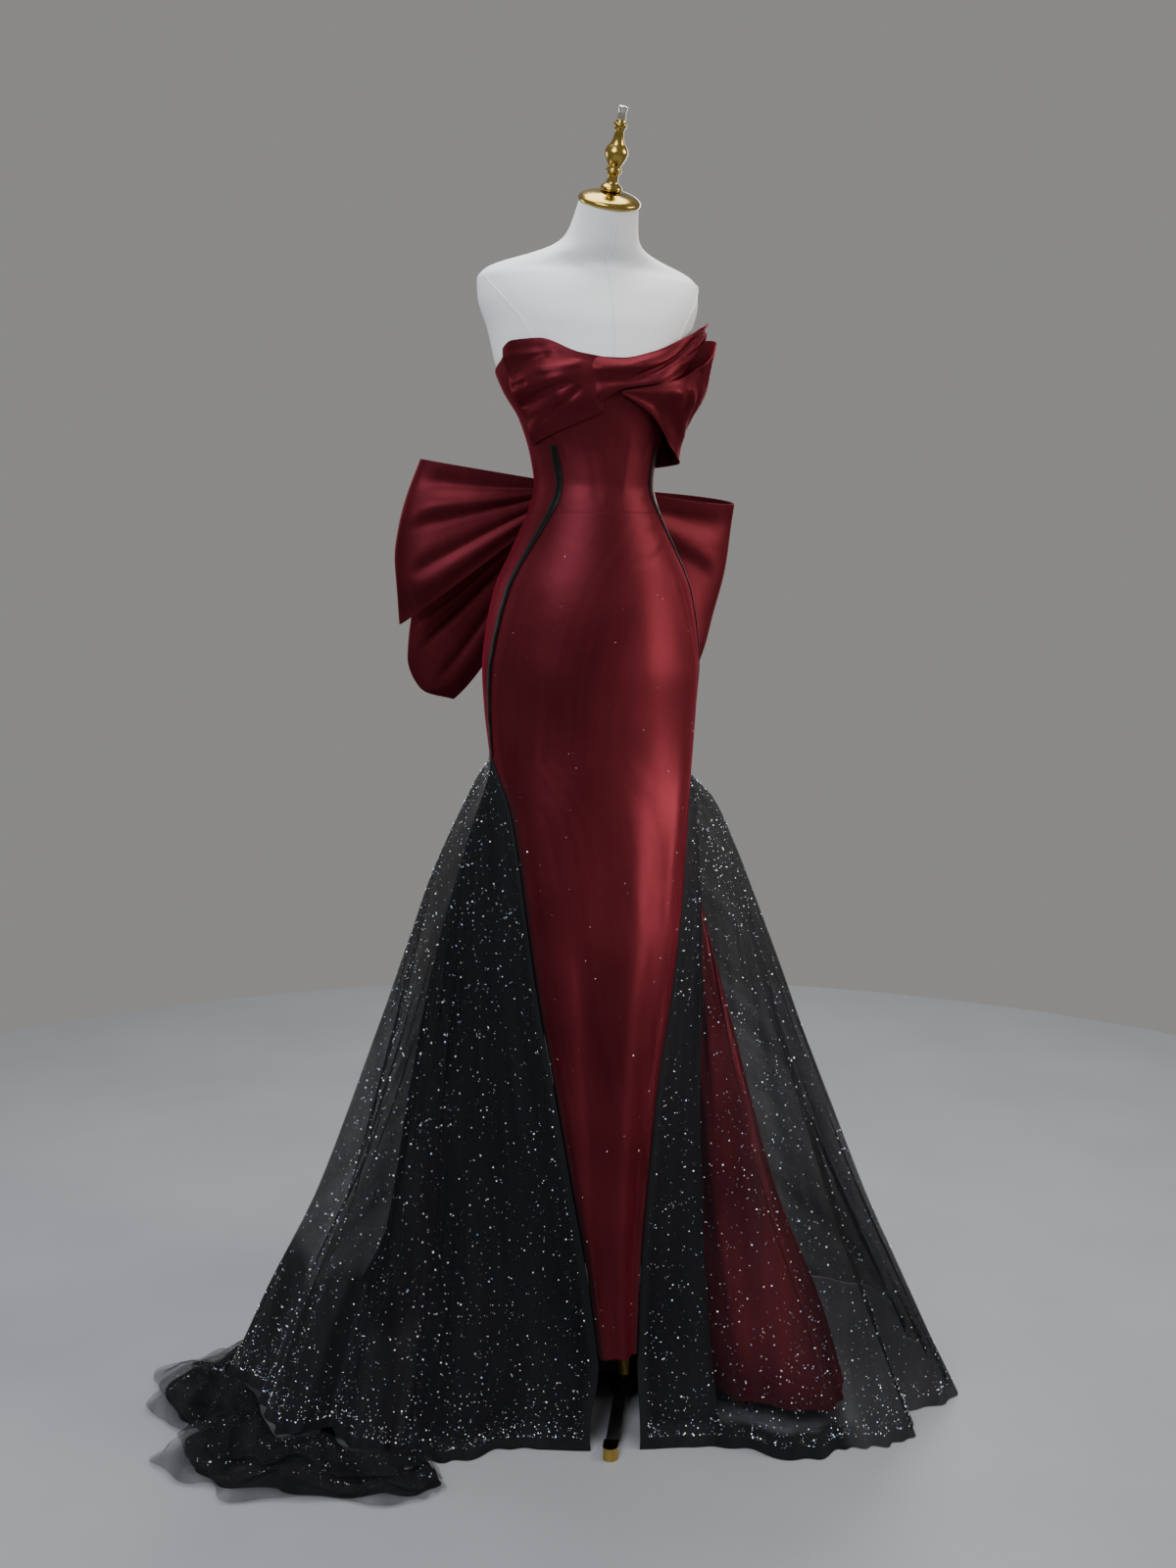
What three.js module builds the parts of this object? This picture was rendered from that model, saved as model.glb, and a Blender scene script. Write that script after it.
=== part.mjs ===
// A strapless mermaid gown of wine-red satin on a limbless dress form with a brass and black stand.
// Millimetres, +Z up, the gown's front faces -Y, and the wearer's left is +X.
// Cloth is a thin wall over a grid of points; each grid is worked out from the tables of sizes below.
import * as THREE from "three";

// Cloth thicknesses and the gaps that keep neighbouring layers apart
const SATIN = 1.5;
const NET = 1.0;
const SEAM_GAP = 0.4;
const FORM_EASE = 0.5; // the form's facets are set this far inside its own sections
const FORM_CLEARANCE = 2.2; // form's skin to the gown's inner face
const GOWN_OFFSET = FORM_CLEARANCE + SATIN; // form's skin to the gown's outer face

// Heights above the floor
const FORM_BOTTOM_Z = 892;
const WAIST_SEAM_Z = 1226;
const FLARE_Z = 886; // where the fitted skirt ends and the flared layers begin
const PANEL_HEM_Z = 108;
const NECK_TOP_Z = 1652;

// Angles are measured round the body from centre front, in degrees, positive towards the wearer's left
const SIDE_ANGLE = 88; // where the front panel meets the side at FLARE_Z
const BACK_ANGLE = 180;

// Form sections: half width, front depth, back depth, the widest line's Y, and the forward tilt in degrees
const FORM_SECTIONS = [
  { z: FORM_BOTTOM_Z, width: 143, front: 107, back: 117, y: 0, tilt: 0 },
  { z: 953, width: 150, front: 113, back: 125, y: 0, tilt: 0 },
  { z: 1009, width: 153, front: 118, back: 130, y: -1, tilt: 0 },
  { z: 1065, width: 148, front: 116, back: 124, y: -3, tilt: 0 },
  { z: 1121, width: 137, front: 110, back: 110, y: -5, tilt: 0 },
  { z: 1176, width: 114, front: 97, back: 90, y: -8, tilt: 0 },
  { z: 1232, width: 90, front: 83, back: 73, y: -10, tilt: 0 },
  { z: 1267, width: 82, front: 76, back: 67, y: -10, tilt: 0 },
  { z: 1302, width: 86, front: 79, back: 69, y: -8, tilt: 0 },
  { z: 1358, width: 102, front: 92, back: 78, y: -5, tilt: 0 },
  { z: 1399, width: 125, front: 102, back: 86, y: 0, tilt: 0 },
  { z: 1434, width: 138, front: 105, back: 90, y: 4, tilt: 0 },
  { z: 1483, width: 149, front: 106, back: 91, y: 7, tilt: 0 },
  { z: 1530, width: 163, front: 97, back: 86, y: 10, tilt: 0 },
  { z: 1554, width: 164, front: 86, back: 76, y: 11, tilt: 0 },
  { z: 1567, width: 155, front: 76, back: 68, y: 9, tilt: 2 },
  { z: 1577, width: 135, front: 70, back: 62, y: 3, tilt: 5 },
  { z: 1585, width: 108, front: 63, back: 58, y: -8, tilt: 8 },
  { z: 1593, width: 80, front: 56, back: 54, y: -24, tilt: 11 },
  { z: 1602, width: 60, front: 51, back: 49, y: -39, tilt: 14 },
  { z: 1613, width: 51, front: 47, back: 46, y: -50, tilt: 17 },
  { z: 1630, width: 46, front: 44, back: 44, y: -62, tilt: 21 },
  { z: NECK_TOP_Z, width: 42, front: 41, back: 41, y: -76, tilt: 26 },
];
const BUST = { angle: 36, z: 1398, out: 13, spreadAngle: 19, spreadZ: 33 };

// A value of a table column at a key, by monotone cubic steps between the rows
function column(rows, key, name) {
  const x = rows.map((row) => row[key]);
  const y = rows.map((row) => row[name]);
  const last = x.length - 1;
  const slope = x.slice(1).map((value, i) => (y[i + 1] - y[i]) / (value - x[i]));
  const tangent = x.map((_, i) => {
    if (i === 0) return slope[0];
    if (i === last) return slope[last - 1];
    const product = slope[i - 1] * slope[i];
    return product <= 0 ? 0 : (2 * product) / (slope[i - 1] + slope[i]);
  });
  return (value) => {
    if (value <= x[0]) return y[0];
    if (value >= x[last]) return y[last];
    const i = x.findIndex((step) => step > value) - 1;
    const h = x[i + 1] - x[i];
    const t = (value - x[i]) / h;
    const rise = t * t * (3 - 2 * t);
    const start = t * (1 - t) * (1 - t) * h * tangent[i];
    const end = t * t * (t - 1) * h * tangent[i + 1];
    return y[i] + rise * (y[i + 1] - y[i]) + start + end;
  };
}

const radians = (degrees) => (degrees * Math.PI) / 180;
const mix = (a, b, t) => a + (b - a) * t;
const smooth = (t) => {
  const s = Math.min(1, Math.max(0, t));
  return s * s * (3 - 2 * s);
};
const bump = (distance, spread) => Math.exp(-((distance / spread) ** 2));
const point = (x, y, z) => new THREE.Vector3(x, y, z);

// The height at a share of the way through a list of row heights
const stepped = (heights, v) => {
  const place = Math.min(heights.length - 1, Math.max(0, v * (heights.length - 1)));
  const below = Math.min(heights.length - 2, Math.floor(place + 1e-9));
  return mix(heights[below], heights[below + 1], place - below);
};

const formWidth = column(FORM_SECTIONS, "z", "width");
const formFront = column(FORM_SECTIONS, "z", "front");
const formBack = column(FORM_SECTIONS, "z", "back");
const formY = column(FORM_SECTIONS, "z", "y");
const formTilt = column(FORM_SECTIONS, "z", "tilt");

// A point on the form's skin, moved out by an offset: two half ellipses, with the two soft cups of the bust
function skin(angle, z, offset = 0) {
  const a = radians(angle);
  const depth = (Math.abs(angle) <= 90 ? formFront(z) : formBack(z)) + offset;
  const cup = BUST.out * bump(z - BUST.z, BUST.spreadZ) * bump(Math.abs(angle) - BUST.angle, BUST.spreadAngle);
  const x = (formWidth(z) + offset + cup) * Math.sin(a);
  const y = -(depth + cup) * Math.cos(a);
  const tilt = radians(formTilt(z));
  return point(x, formY(z) + y * Math.cos(tilt), z + y * Math.sin(tilt));
}

// A closed wall of cloth: the outer face is at(u, v) with u and v from 0 to 1, and the inner face lies
// one thickness behind it along the face's own normal. side is 1 or -1, whichever way the outside is.
function clothWall(at, columns, rows, thickness, side = 1) {
  const step = 1e-3;
  const outer = [];
  const inner = [];
  for (let j = 0; j <= rows; j++) {
    for (let i = 0; i <= columns; i++) {
      const u = i / columns;
      const v = j / rows;
      const here = at(u, v);
      const across = at(Math.min(1, u + step), v).sub(at(Math.max(0, u - step), v));
      const along = at(u, Math.min(1, v + step)).sub(at(u, Math.max(0, v - step)));
      const normal = across.cross(along).normalize().multiplyScalar(side);
      outer.push(here);
      inner.push(here.clone().addScaledVector(normal, -thickness));
    }
  }
  const positions = [...outer, ...inner].flatMap((p) => [p.x, p.y, p.z]);
  const back = outer.length;
  const width = columns + 1;
  const index = [];
  const quad = (a, b, c, d) => {
    if (side > 0) index.push(a, b, c, a, c, d);
    else index.push(a, c, b, a, d, c);
  };
  for (let j = 0; j < rows; j++) {
    for (let i = 0; i < columns; i++) {
      const a = j * width + i;
      quad(a, a + 1, a + width + 1, a + width);
      quad(back + a, back + a + width, back + a + width + 1, back + a + 1);
    }
  }
  for (let i = 0; i < columns; i++) {
    const low = i;
    const high = rows * width + i;
    quad(low, back + low, back + low + 1, low + 1);
    quad(high, high + 1, back + high + 1, back + high);
  }
  for (let j = 0; j < rows; j++) {
    const first = j * width;
    const lastOne = first + columns;
    quad(first, first + width, back + first + width, back + first);
    quad(lastOne, back + lastOne, back + lastOne + width, lastOne + width);
  }
  const geometry = new THREE.BufferGeometry();
  geometry.setAttribute("position", new THREE.Float32BufferAttribute(positions, 3));
  geometry.setIndex(index);
  return geometry;
}

// A solid between stacked rings of points, all with the same count, closed by a flat or domed cap at each end
function ringSolid(rings) {
  const count = rings[0].length;
  const centre = (ring) => ring.reduce((sum, p) => sum.add(p), point(0, 0, 0)).divideScalar(count);
  const points = [...rings.flat(), centre(rings[0]), centre(rings[rings.length - 1])];
  const bottom = rings.length * count;
  const top = bottom + 1;
  const index = [];
  for (let i = 0; i < count; i++) {
    const next = (i + 1) % count;
    index.push(bottom, next, i);
    const high = (rings.length - 1) * count;
    index.push(top, high + i, high + next);
    for (let j = 0; j + 1 < rings.length; j++) {
      const a = j * count + i;
      const b = j * count + next;
      index.push(a, b, b + count, a, b + count, a + count);
    }
  }
  const geometry = new THREE.BufferGeometry();
  const values = points.flatMap((p) => [p.x, p.y, p.z]);
  geometry.setAttribute("position", new THREE.Float32BufferAttribute(values, 3));
  geometry.setIndex(index);
  return geometry;
}

const wineSatin = new THREE.MeshStandardMaterial({ color: 0x5a0f1c, roughness: 0.42, metalness: 0 });
const blackSatin = new THREE.MeshStandardMaterial({ color: 0x1b1a1c, roughness: 0.45, metalness: 0 });
const blackNet = new THREE.MeshStandardMaterial({ color: 0x17181b, roughness: 0.8, metalness: 0 });
const whiteCover = new THREE.MeshStandardMaterial({ color: 0xe6e8e8, roughness: 0.85, metalness: 0 });
const brass = new THREE.MeshStandardMaterial({ color: 0xb8953f, roughness: 0.2, metalness: 1 });
const blackMetal = new THREE.MeshStandardMaterial({ color: 0x141414, roughness: 0.4, metalness: 0.6 });

const gown = new THREE.Group();
function add(name, geometry, material) {
  geometry.computeVertexNormals();
  const mesh = new THREE.Mesh(geometry, material);
  mesh.name = name;
  gown.add(mesh);
  return mesh;
}

// Dress form: torso and neck in one covered body
const FORM_RING_POINTS = 26;
const FORM_RING_STEPS = 23;
function formTorso() {
  const heights = [];
  for (let i = 0; i <= FORM_RING_STEPS; i++) {
    const t = i / FORM_RING_STEPS;
    heights.push(mix(FORM_BOTTOM_Z, NECK_TOP_Z, t ** 0.72));
  }
  const ring = (z) => {
    const points = [];
    for (let i = 0; i < FORM_RING_POINTS; i++) {
      points.push(skin(-180 + (360 * i) / FORM_RING_POINTS, z, -FORM_EASE));
    }
    return points;
  };
  return ringSolid(heights.map(ring));
}
add("form_torso", formTorso(), whiteCover);

// Brass neck cap and turned finial, both square to the tilted neck
const NECK_TILT = radians(26);
const NECK_AXIS = point(0, -Math.sin(NECK_TILT), Math.cos(NECK_TILT));
const NECK_TOP = point(0, formY(NECK_TOP_Z), NECK_TOP_Z);
const turned = (profile, sides) => {
  const points = profile.map((row) => new THREE.Vector2(row.radius, row.height));
  return new THREE.LatheGeometry([...points, points[0]], sides).rotateX(Math.PI / 2);
};
const CAP_PROFILE = [
  { radius: 0, height: 0 },
  { radius: 42, height: 0 },
  { radius: 43.5, height: 2 },
  { radius: 43.5, height: 6 },
  { radius: 39, height: 10 },
  { radius: 28, height: 14 },
  { radius: 14, height: 17 },
  { radius: 0, height: 17 },
];
const FINIAL_PROFILE = [
  { radius: 0, height: 0 },
  { radius: 13, height: 0 },
  { radius: 15, height: 3 },
  { radius: 13, height: 8 },
  { radius: 8, height: 13 },
  { radius: 8, height: 24 },
  { radius: 11, height: 28 },
  { radius: 9, height: 34 },
  { radius: 15, height: 47 },
  { radius: 16, height: 53 },
  { radius: 13, height: 60 },
  { radius: 9, height: 67 },
  { radius: 6, height: 82 },
  { radius: 9, height: 88 },
  { radius: 9, height: 92 },
  { radius: 6, height: 97 },
  { radius: 6, height: 112 },
  { radius: 7, height: 115 },
  { radius: 0, height: 116 },
];
const CAP_SIDES = 24;
const FINIAL_SIDES = 12;
const CAP_GAP = 0.3;
const CAP_HEIGHT = 17;
const onNeck = (mesh, height) => {
  mesh.quaternion.setFromUnitVectors(point(0, 0, 1), NECK_AXIS);
  mesh.position.copy(NECK_TOP).addScaledVector(NECK_AXIS, height);
};
onNeck(add("neck_cap", turned(CAP_PROFILE, CAP_SIDES), brass), CAP_GAP);
onNeck(add("finial", turned(FINIAL_PROFILE, FINIAL_SIDES), brass), CAP_GAP + CAP_HEIGHT + CAP_GAP);

// Stand: a pole under the form, a sleeve and hub, and four low legs with brass tips
const POLE = { x: 27, y: -63, radius: 8.5 };
const SLEEVE = { radius: 10.5, top: 170 };
const HUB = { radius: 20, bottom: 8, top: 27 };
const LEG_COUNT = 4;
const LEG = { reach: 162, width: 17, first: 244, hubHeight: 25, tipHeight: 13, thickness: 14 };
const FOOT = { length: 26, width: 20, height: 16 };
const at = (geometry, x, y, z) => geometry.translate(x, y, z);
const rod = (radius, height, sides) =>
  new THREE.CylinderGeometry(radius, radius, height, sides).rotateX(Math.PI / 2);

const poleLength = FORM_BOTTOM_Z - CAP_GAP - (SLEEVE.top + CAP_GAP);
const poleMiddle = SLEEVE.top + CAP_GAP + poleLength / 2;
add("pole", at(rod(POLE.radius, poleLength, 20), POLE.x, POLE.y, poleMiddle), brass);
const sleeveLength = SLEEVE.top - HUB.top - CAP_GAP;
const sleeveMiddle = SLEEVE.top - sleeveLength / 2;
add("pole_sleeve", at(rod(SLEEVE.radius, sleeveLength, 20), POLE.x, POLE.y, sleeveMiddle), brass);
const hubHeight = HUB.top - HUB.bottom;
add("stand_hub", at(rod(HUB.radius, hubHeight, 24), POLE.x, POLE.y, HUB.bottom + hubHeight / 2), blackMetal);

// One leg's side outline, from the hub out to its brass tip, arched clear of the floor
function legSolid() {
  const start = HUB.radius + CAP_GAP;
  const end = LEG.reach - FOOT.length / 2 - CAP_GAP;
  const outline = new THREE.Shape();
  const steps = 8;
  const topOf = (t) => mix(LEG.hubHeight, LEG.tipHeight, t) + 7 * Math.sin(Math.PI * t) * (1 - t);
  outline.moveTo(start, topOf(0));
  for (let i = 1; i <= steps; i++) outline.lineTo(mix(start, end, i / steps), topOf(i / steps));
  for (let i = steps; i >= 0; i--) {
    const t = i / steps;
    outline.lineTo(mix(start, end, t), topOf(t) - mix(LEG.thickness, 9, t));
  }
  return new THREE.ExtrudeGeometry(outline, { depth: LEG.width, bevelEnabled: false })
    .translate(0, 0, -LEG.width / 2)
    .rotateX(Math.PI / 2);
}

// A brass tip: a block with a rounded nose, flat underneath where it stands on the floor
function footSolid() {
  const half = FOOT.width / 2;
  const outline = new THREE.Shape();
  outline.moveTo(-FOOT.length / 2, -half);
  outline.lineTo(FOOT.length / 2 - half, -half);
  outline.absarc(FOOT.length / 2 - half, 0, half, -Math.PI / 2, Math.PI / 2, false);
  outline.lineTo(-FOOT.length / 2, half);
  return new THREE.ExtrudeGeometry(outline, { depth: FOOT.height, bevelEnabled: false, curveSegments: 8 })
    .translate(LEG.reach, 0, 0);
}
for (let i = 0; i < LEG_COUNT; i++) {
  const turn = radians(LEG.first + (360 / LEG_COUNT) * i);
  const place = (mesh) => {
    mesh.rotation.z = turn;
    mesh.position.set(POLE.x, POLE.y, 0);
  };
  place(add(`leg_${i + 1}`, legSolid(), blackMetal));
  place(add(`foot_${i + 1}`, footSolid(), brass));
}

// Princess seams: how far round from centre front they run at each height
const PRINCESS = [
  { z: FLARE_Z, angle: SIDE_ANGLE },
  { z: 984, angle: 82 },
  { z: 1066, angle: 76 },
  { z: 1144, angle: 70 },
  { z: 1207, angle: 60 },
  { z: 1260, angle: 51 },
  { z: 1320, angle: 54 },
  { z: 1360, angle: 60 },
  { z: 1412, angle: 67 },
  { z: 1500, angle: 67 },
];
const princess = column(PRINCESS, "z", "angle");

// The bodice's top edge: low at centre front, up over the cups, and down to the underarm and back
const TOP_EDGE = [
  { angle: 0, z: 1429 },
  { angle: 20, z: 1437 },
  { angle: 42, z: 1457 },
  { angle: 60, z: 1456 },
  { angle: 80, z: 1434 },
  { angle: 110, z: 1420 },
  { angle: 180, z: 1414 },
];
const topEdge = column(TOP_EDGE, "angle", "z");
const degreesOf = (length, z) => ((length / formWidth(z)) * 180) / Math.PI;
const halfSeam = (z) => degreesOf(SEAM_GAP / 2, z);

// A panel of the fitted gown between two seams, from a low height to a top height or a top edge
function fittedPanel(from, to, low, high, columns, rows) {
  const at = (u, v) => {
    const top = typeof high === "function" ? high(u) : high;
    const z = mix(low, top, v);
    return skin(mix(from(z), to(z), u), z, GOWN_OFFSET);
  };
  return clothWall(at, columns, rows, SATIN);
}
const bodiceLow = WAIST_SEAM_Z + SEAM_GAP;
const seamOf = (sign, gap) => (z) => sign * (princess(z) + gap * halfSeam(z));
const BODICE_ROWS = 10;
const HIP_ROWS = 11;
const SEAM_TOP = 67; // the princess seam's angle at the top edge
const frontTop = (u) => topEdge(Math.abs(mix(-SEAM_TOP, SEAM_TOP, u)));
const bodiceFront = fittedPanel(seamOf(-1, -1), seamOf(1, -1), bodiceLow, frontTop, 16, BODICE_ROWS);
add("bodice_front", bodiceFront, wineSatin);
const SIDE_SEAM = 106; // side-back seam of the bodice
for (const [side, sign] of [["right", -1], ["left", 1]]) {
  const ordered = (a, b) => (sign > 0 ? [a, b] : [b, a]);
  const sideBack = (gap) => (z) => sign * (SIDE_SEAM + gap * halfSeam(z));
  const centreBack = (z) => sign * (BACK_ANGLE - halfSeam(z));
  const panelTop = (first, last) => (u) => topEdge(mix(first, last, sign > 0 ? u : 1 - u));
  const bodiceSide = ordered(seamOf(sign, 1), sideBack(-1));
  const sideTop = panelTop(SEAM_TOP, SIDE_SEAM);
  add(`bodice_side_${side}`, fittedPanel(...bodiceSide, bodiceLow, sideTop, 4, BODICE_ROWS), wineSatin);
  const bodiceBack = ordered(sideBack(1), centreBack);
  const backTop = panelTop(SIDE_SEAM, 180);
  add(`bodice_back_${side}`, fittedPanel(...bodiceBack, bodiceLow, backTop, 7, BODICE_ROWS), wineSatin);
  const hipBack = ordered(seamOf(sign, 1), centreBack);
  const skirtBack = fittedPanel(...hipBack, FLARE_Z + SEAM_GAP, WAIST_SEAM_Z, 10, HIP_ROWS);
  add(`skirt_back_${side}`, skirtBack, wineSatin);
}

// Front skirt panel: full width over the hips, then a long tongue that falls between the flared layers.
// middle and edge are how far forward it stands, centre is how far its middle is drawn to one side.
const TONGUE = [
  { z: PANEL_HEM_Z, width: 26.8, centre: -18.6, edge: 165, middle: 178 },
  { z: 208, width: 36.7, centre: -18, edge: 148, middle: 167 },
  { z: 332, width: 55.1, centre: -17, edge: 128, middle: 155 },
  { z: 457, width: 75.3, centre: -14.8, edge: 109, middle: 145 },
  { z: 548, width: 92.6, centre: -12, edge: 98, middle: 138 },
  { z: 652, width: 108.6, centre: -9.5, edge: 88, middle: 131 },
  { z: 744, width: 119.9, centre: -7, edge: 74, middle: 125 },
  { z: 810, width: 129, centre: -4.2, edge: 55, middle: 120 },
  { z: 860, width: 141, centre: -1, edge: 24, middle: 115 },
  { z: FLARE_Z, width: 143 + GOWN_OFFSET, centre: 0, edge: 4, middle: 107 + GOWN_OFFSET },
];
const tongueWidth = column(TONGUE, "z", "width");
const tongueCentre = column(TONGUE, "z", "centre");
const tongueEdge = column(TONGUE, "z", "edge");
const tongueMiddle = column(TONGUE, "z", "middle");

// A point of the tongue: turn runs from -1 at the wearer's right seam to 1 at the left seam
function tongue(turn, z) {
  const a = radians(SIDE_ANGLE * turn);
  const last = radians(SIDE_ANGLE);
  const depth = tongueMiddle(z) - tongueEdge(z);
  const share = (Math.cos(a) - Math.cos(last)) / (1 - Math.cos(last));
  const crease = 2.5 * Math.sin(radians(540 * turn)) * smooth((FLARE_Z - z) / 500) * (1 - turn * turn);
  const x = tongueCentre(z) + (tongueWidth(z) * Math.sin(a)) / Math.sin(last);
  return point(x, -(tongueEdge(z) + (depth + crease) * share), z);
}
// Heights of the rows that the tongue and the flared layers share
const FALL_HEIGHTS = [PANEL_HEM_Z, 220, 335, 450, 560, 660, 740, 792, 832, 862, FLARE_Z];
function frontSkirt() {
  const heights = [...FALL_HEIGHTS, ...Array.from({ length: HIP_ROWS }, (_, i) =>
    mix(FLARE_Z, WAIST_SEAM_Z, (i + 1) / HIP_ROWS))];
  const at = (u, v) => {
    const z = stepped(heights, v);
    const turn = mix(-1, 1, u);
    if (z < FLARE_Z - 0.01) return tongue(turn * (1 - SEAM_GAP / 2 / tongueWidth(z)), z);
    return skin(turn * (princess(z) - halfSeam(z)), z, GOWN_OFFSET);
  };
  return clothWall(at, 14, heights.length - 1, SATIN);
}
add("skirt_front", frontSkirt(), wineSatin);

// Black ribbon over each princess seam, from the flare up to the bust drape, on the panels' own rows
const RIBBON = { width: 11, thickness: 1.2, crown: 0.8, gap: 0.4, bodiceRows: 4 };
const hipHeights = Array.from({ length: HIP_ROWS + 1 }, (_, i) => mix(FLARE_Z, WAIST_SEAM_Z, i / HIP_ROWS));
const bodiceHeights = Array.from({ length: RIBBON.bodiceRows }, (_, i) =>
  mix(bodiceLow, topEdge(SEAM_TOP), (i + 1) / BODICE_ROWS),
);
const ribbonHeights = [FLARE_Z + 2, ...hipHeights.slice(1), ...bodiceHeights];
for (const [side, sign] of [["right", -1], ["left", 1]]) {
  const at = (u, v) => {
    const z = stepped(ribbonHeights, v);
    const across = mix(-RIBBON.width / 2, RIBBON.width / 2, u);
    const raise = RIBBON.gap + RIBBON.thickness + RIBBON.crown * Math.sin(Math.PI * u);
    return skin(sign * princess(z) + degreesOf(across, z), z, GOWN_OFFSET + raise);
  };
  add(`seam_ribbon_${side}`, clothWall(at, 2, ribbonHeights.length - 1, RIBBON.thickness), blackSatin);
}

// Flared layers. Each half runs from the front panel's edge (0) round to centre back (1), and from the hips
// down to the outline where it meets the floor. Outlines are plan points, listed at equal steps.
const NET_FLOOR_LEFT = [
  [-3, -206], [55, -223], [125, -254], [190, -290], [252, -312], [318, -300], [380, -264], [450, -208],
  [492, -110], [505, 0], [488, 120], [430, 235], [340, 330], [225, 400], [110, 436], [1, 448],
];
const NET_FLOOR_RIGHT = [
  [-64, -188], [-118, -166], [-176, -146], [-232, -140], [-290, -146], [-350, -138], [-408, -110], [-458, -66],
  [-488, -4], [-496, 70], [-482, 146], [-436, 222], [-356, 300], [-240, 372], [-115, 428], [-1, 448],
];
const INNER_FLOOR_RIGHT = [
  [-58, -180], [-112, -150], [-168, -124], [-218, -110], [-262, -108], [-306, -96], [-348, -68], [-382, -24],
  [-402, 30], [-404, 90], [-386, 150], [-344, 210], [-280, 266], [-190, 320], [-92, 358], [-2, 370],
];
const SATIN_FLOOR_LEFT = [
  [20, -120], [60, -126], [122, -134], [176, -196], [250, -272], [292, -214], [310, -140], [322, -70],
  [326, 0], [316, 70], [290, 140], [246, 200], [190, 250], [126, 288], [62, 310], [1.5, 318],
];
const SATIN_FLOOR_RIGHT = [
  [-60, -112], [-92, -112], [-132, -106], [-176, -88], [-214, -66], [-246, -40], [-272, -8], [-290, 28],
  [-296, 66], [-290, 106], [-270, 146], [-236, 186], [-190, 222], [-130, 254], [-66, 280], [-1.5, 290],
];

// How far each layer has spread from the hips to its floor outline, by the share of the fall
const NET_SPREAD_LEFT = [
  [0, 0], [0.04, 0.14], [0.08, 0.235], [0.15, 0.305], [0.3, 0.42], [0.45, 0.525], [0.57, 0.615],
  [0.7, 0.718], [0.84, 0.845], [1, 1],
];
const NET_SPREAD_RIGHT = [
  [0, 0], [0.03, 0.1], [0.08, 0.175], [0.2, 0.305], [0.3, 0.375], [0.44, 0.465], [0.68, 0.65],
  [0.84, 0.825], [0.95, 0.935], [1, 1],
];
const INNER_SPREAD = [
  [0, 0], [0.06, 0.11], [0.17, 0.24], [0.33, 0.37], [0.57, 0.475], [0.77, 0.57], [0.84, 0.66],
  [0.92, 0.84], [1, 1],
];
const SATIN_SPREAD = [[0, 0], [0.3, 0.27], [0.53, 0.47], [0.7, 0.64], [0.86, 0.86], [1, 1]];
const spreadOf = (rows) => column(rows.map(([fall, share]) => ({ fall, share })), "fall", "share");
const outlineOf = (rows) => {
  const path = new THREE.CatmullRomCurve3(rows.map(([x, y]) => point(x, y, 0)), false, "catmullrom", 0.5);
  return (s) => path.getPoint(Math.min(1, Math.max(0, s)));
};

// The net's front edge follows the tongue's side, then swings to where its hem meets the floor. An inner
// layer lies inward of its own surface by a set distance, along the surface's normal in plan.
const EDGE_GAP = 1.2; // front panel's side to the layers beside it
const EDGE_HOLD = 0.16; // share of the half over which the front edge's pull fades out
function flaredLayer(sign, floorRows, spreadRows, inward, sway) {
  const floor = outlineOf(floorRows);
  const spread = spreadOf(spreadRows);
  const ruled = (s, fall) => {
    const hip = skin(sign * mix(SIDE_ANGLE + 0.3, BACK_ANGLE - 0.12, s), FLARE_Z, GOWN_OFFSET);
    const end = floor(s);
    const share = spread(fall);
    return point(mix(hip.x, end.x, share), mix(hip.y, end.y, share), FLARE_Z * (1 - fall));
  };
  const hemFall = 1 - PANEL_HEM_Z / FLARE_Z;
  const edge = (fall) => {
    const at = Math.min(fall, hemFall);
    const held = tongue(sign, FLARE_Z * (1 - at));
    held.x += sign * EDGE_GAP;
    const line = ruled(0, at);
    const free = fall > hemFall ? 1 - smooth((fall - hemFall) / (1 - hemFall)) : 1;
    return point((held.x - line.x) * free, (held.y - line.y) * free, 0);
  };
  const surface = (s, fall) => {
    const tangent = floor(s + 0.01).sub(floor(s - 0.01)).normalize();
    const outward = point(sign * tangent.y, -sign * tangent.x, 0);
    const hold = Math.exp(-((s / EDGE_HOLD) ** 2));
    const back = 1 - smooth((s - 0.93) / 0.07);
    const uneven = s + 0.02 * Math.sin(radians(360 * 2.3 * s + 40));
    const wave = Math.sin(radians(360 * 6.5 * uneven + 30)) + 0.35 * Math.sin(radians(360 * 11 * uneven + 70));
    const depth = sway * smooth(fall * 1.15) * wave * (1 - hold) * back;
    return ruled(s, fall).add(edge(fall).multiplyScalar(hold)).addScaledVector(outward, depth);
  };
  return (s, fall) => {
    const here = surface(s, fall);
    const tangent = surface(Math.min(1, s + 0.01), fall).sub(surface(Math.max(0, s - 0.01), fall)).normalize();
    return here.addScaledVector(point(sign * tangent.y, -sign * tangent.x, 0), -inward);
  };
}
const NET_SWAY = 15;
const netLeft = flaredLayer(1, NET_FLOOR_LEFT, NET_SPREAD_LEFT, 0, NET_SWAY);
const netRight = flaredLayer(-1, NET_FLOOR_RIGHT, NET_SPREAD_RIGHT, 0, NET_SWAY);
const innerLeft = flaredLayer(1, NET_FLOOR_LEFT, NET_SPREAD_LEFT, 2.4, NET_SWAY);
const innerRight = flaredLayer(-1, INNER_FLOOR_RIGHT, INNER_SPREAD, 2.4, NET_SWAY * 0.8);
const satinLeft = flaredLayer(1, SATIN_FLOOR_LEFT, SATIN_SPREAD, 2, 9);
const satinRight = flaredLayer(-1, SATIN_FLOOR_RIGHT, INNER_SPREAD, 3.8, 9);

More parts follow.
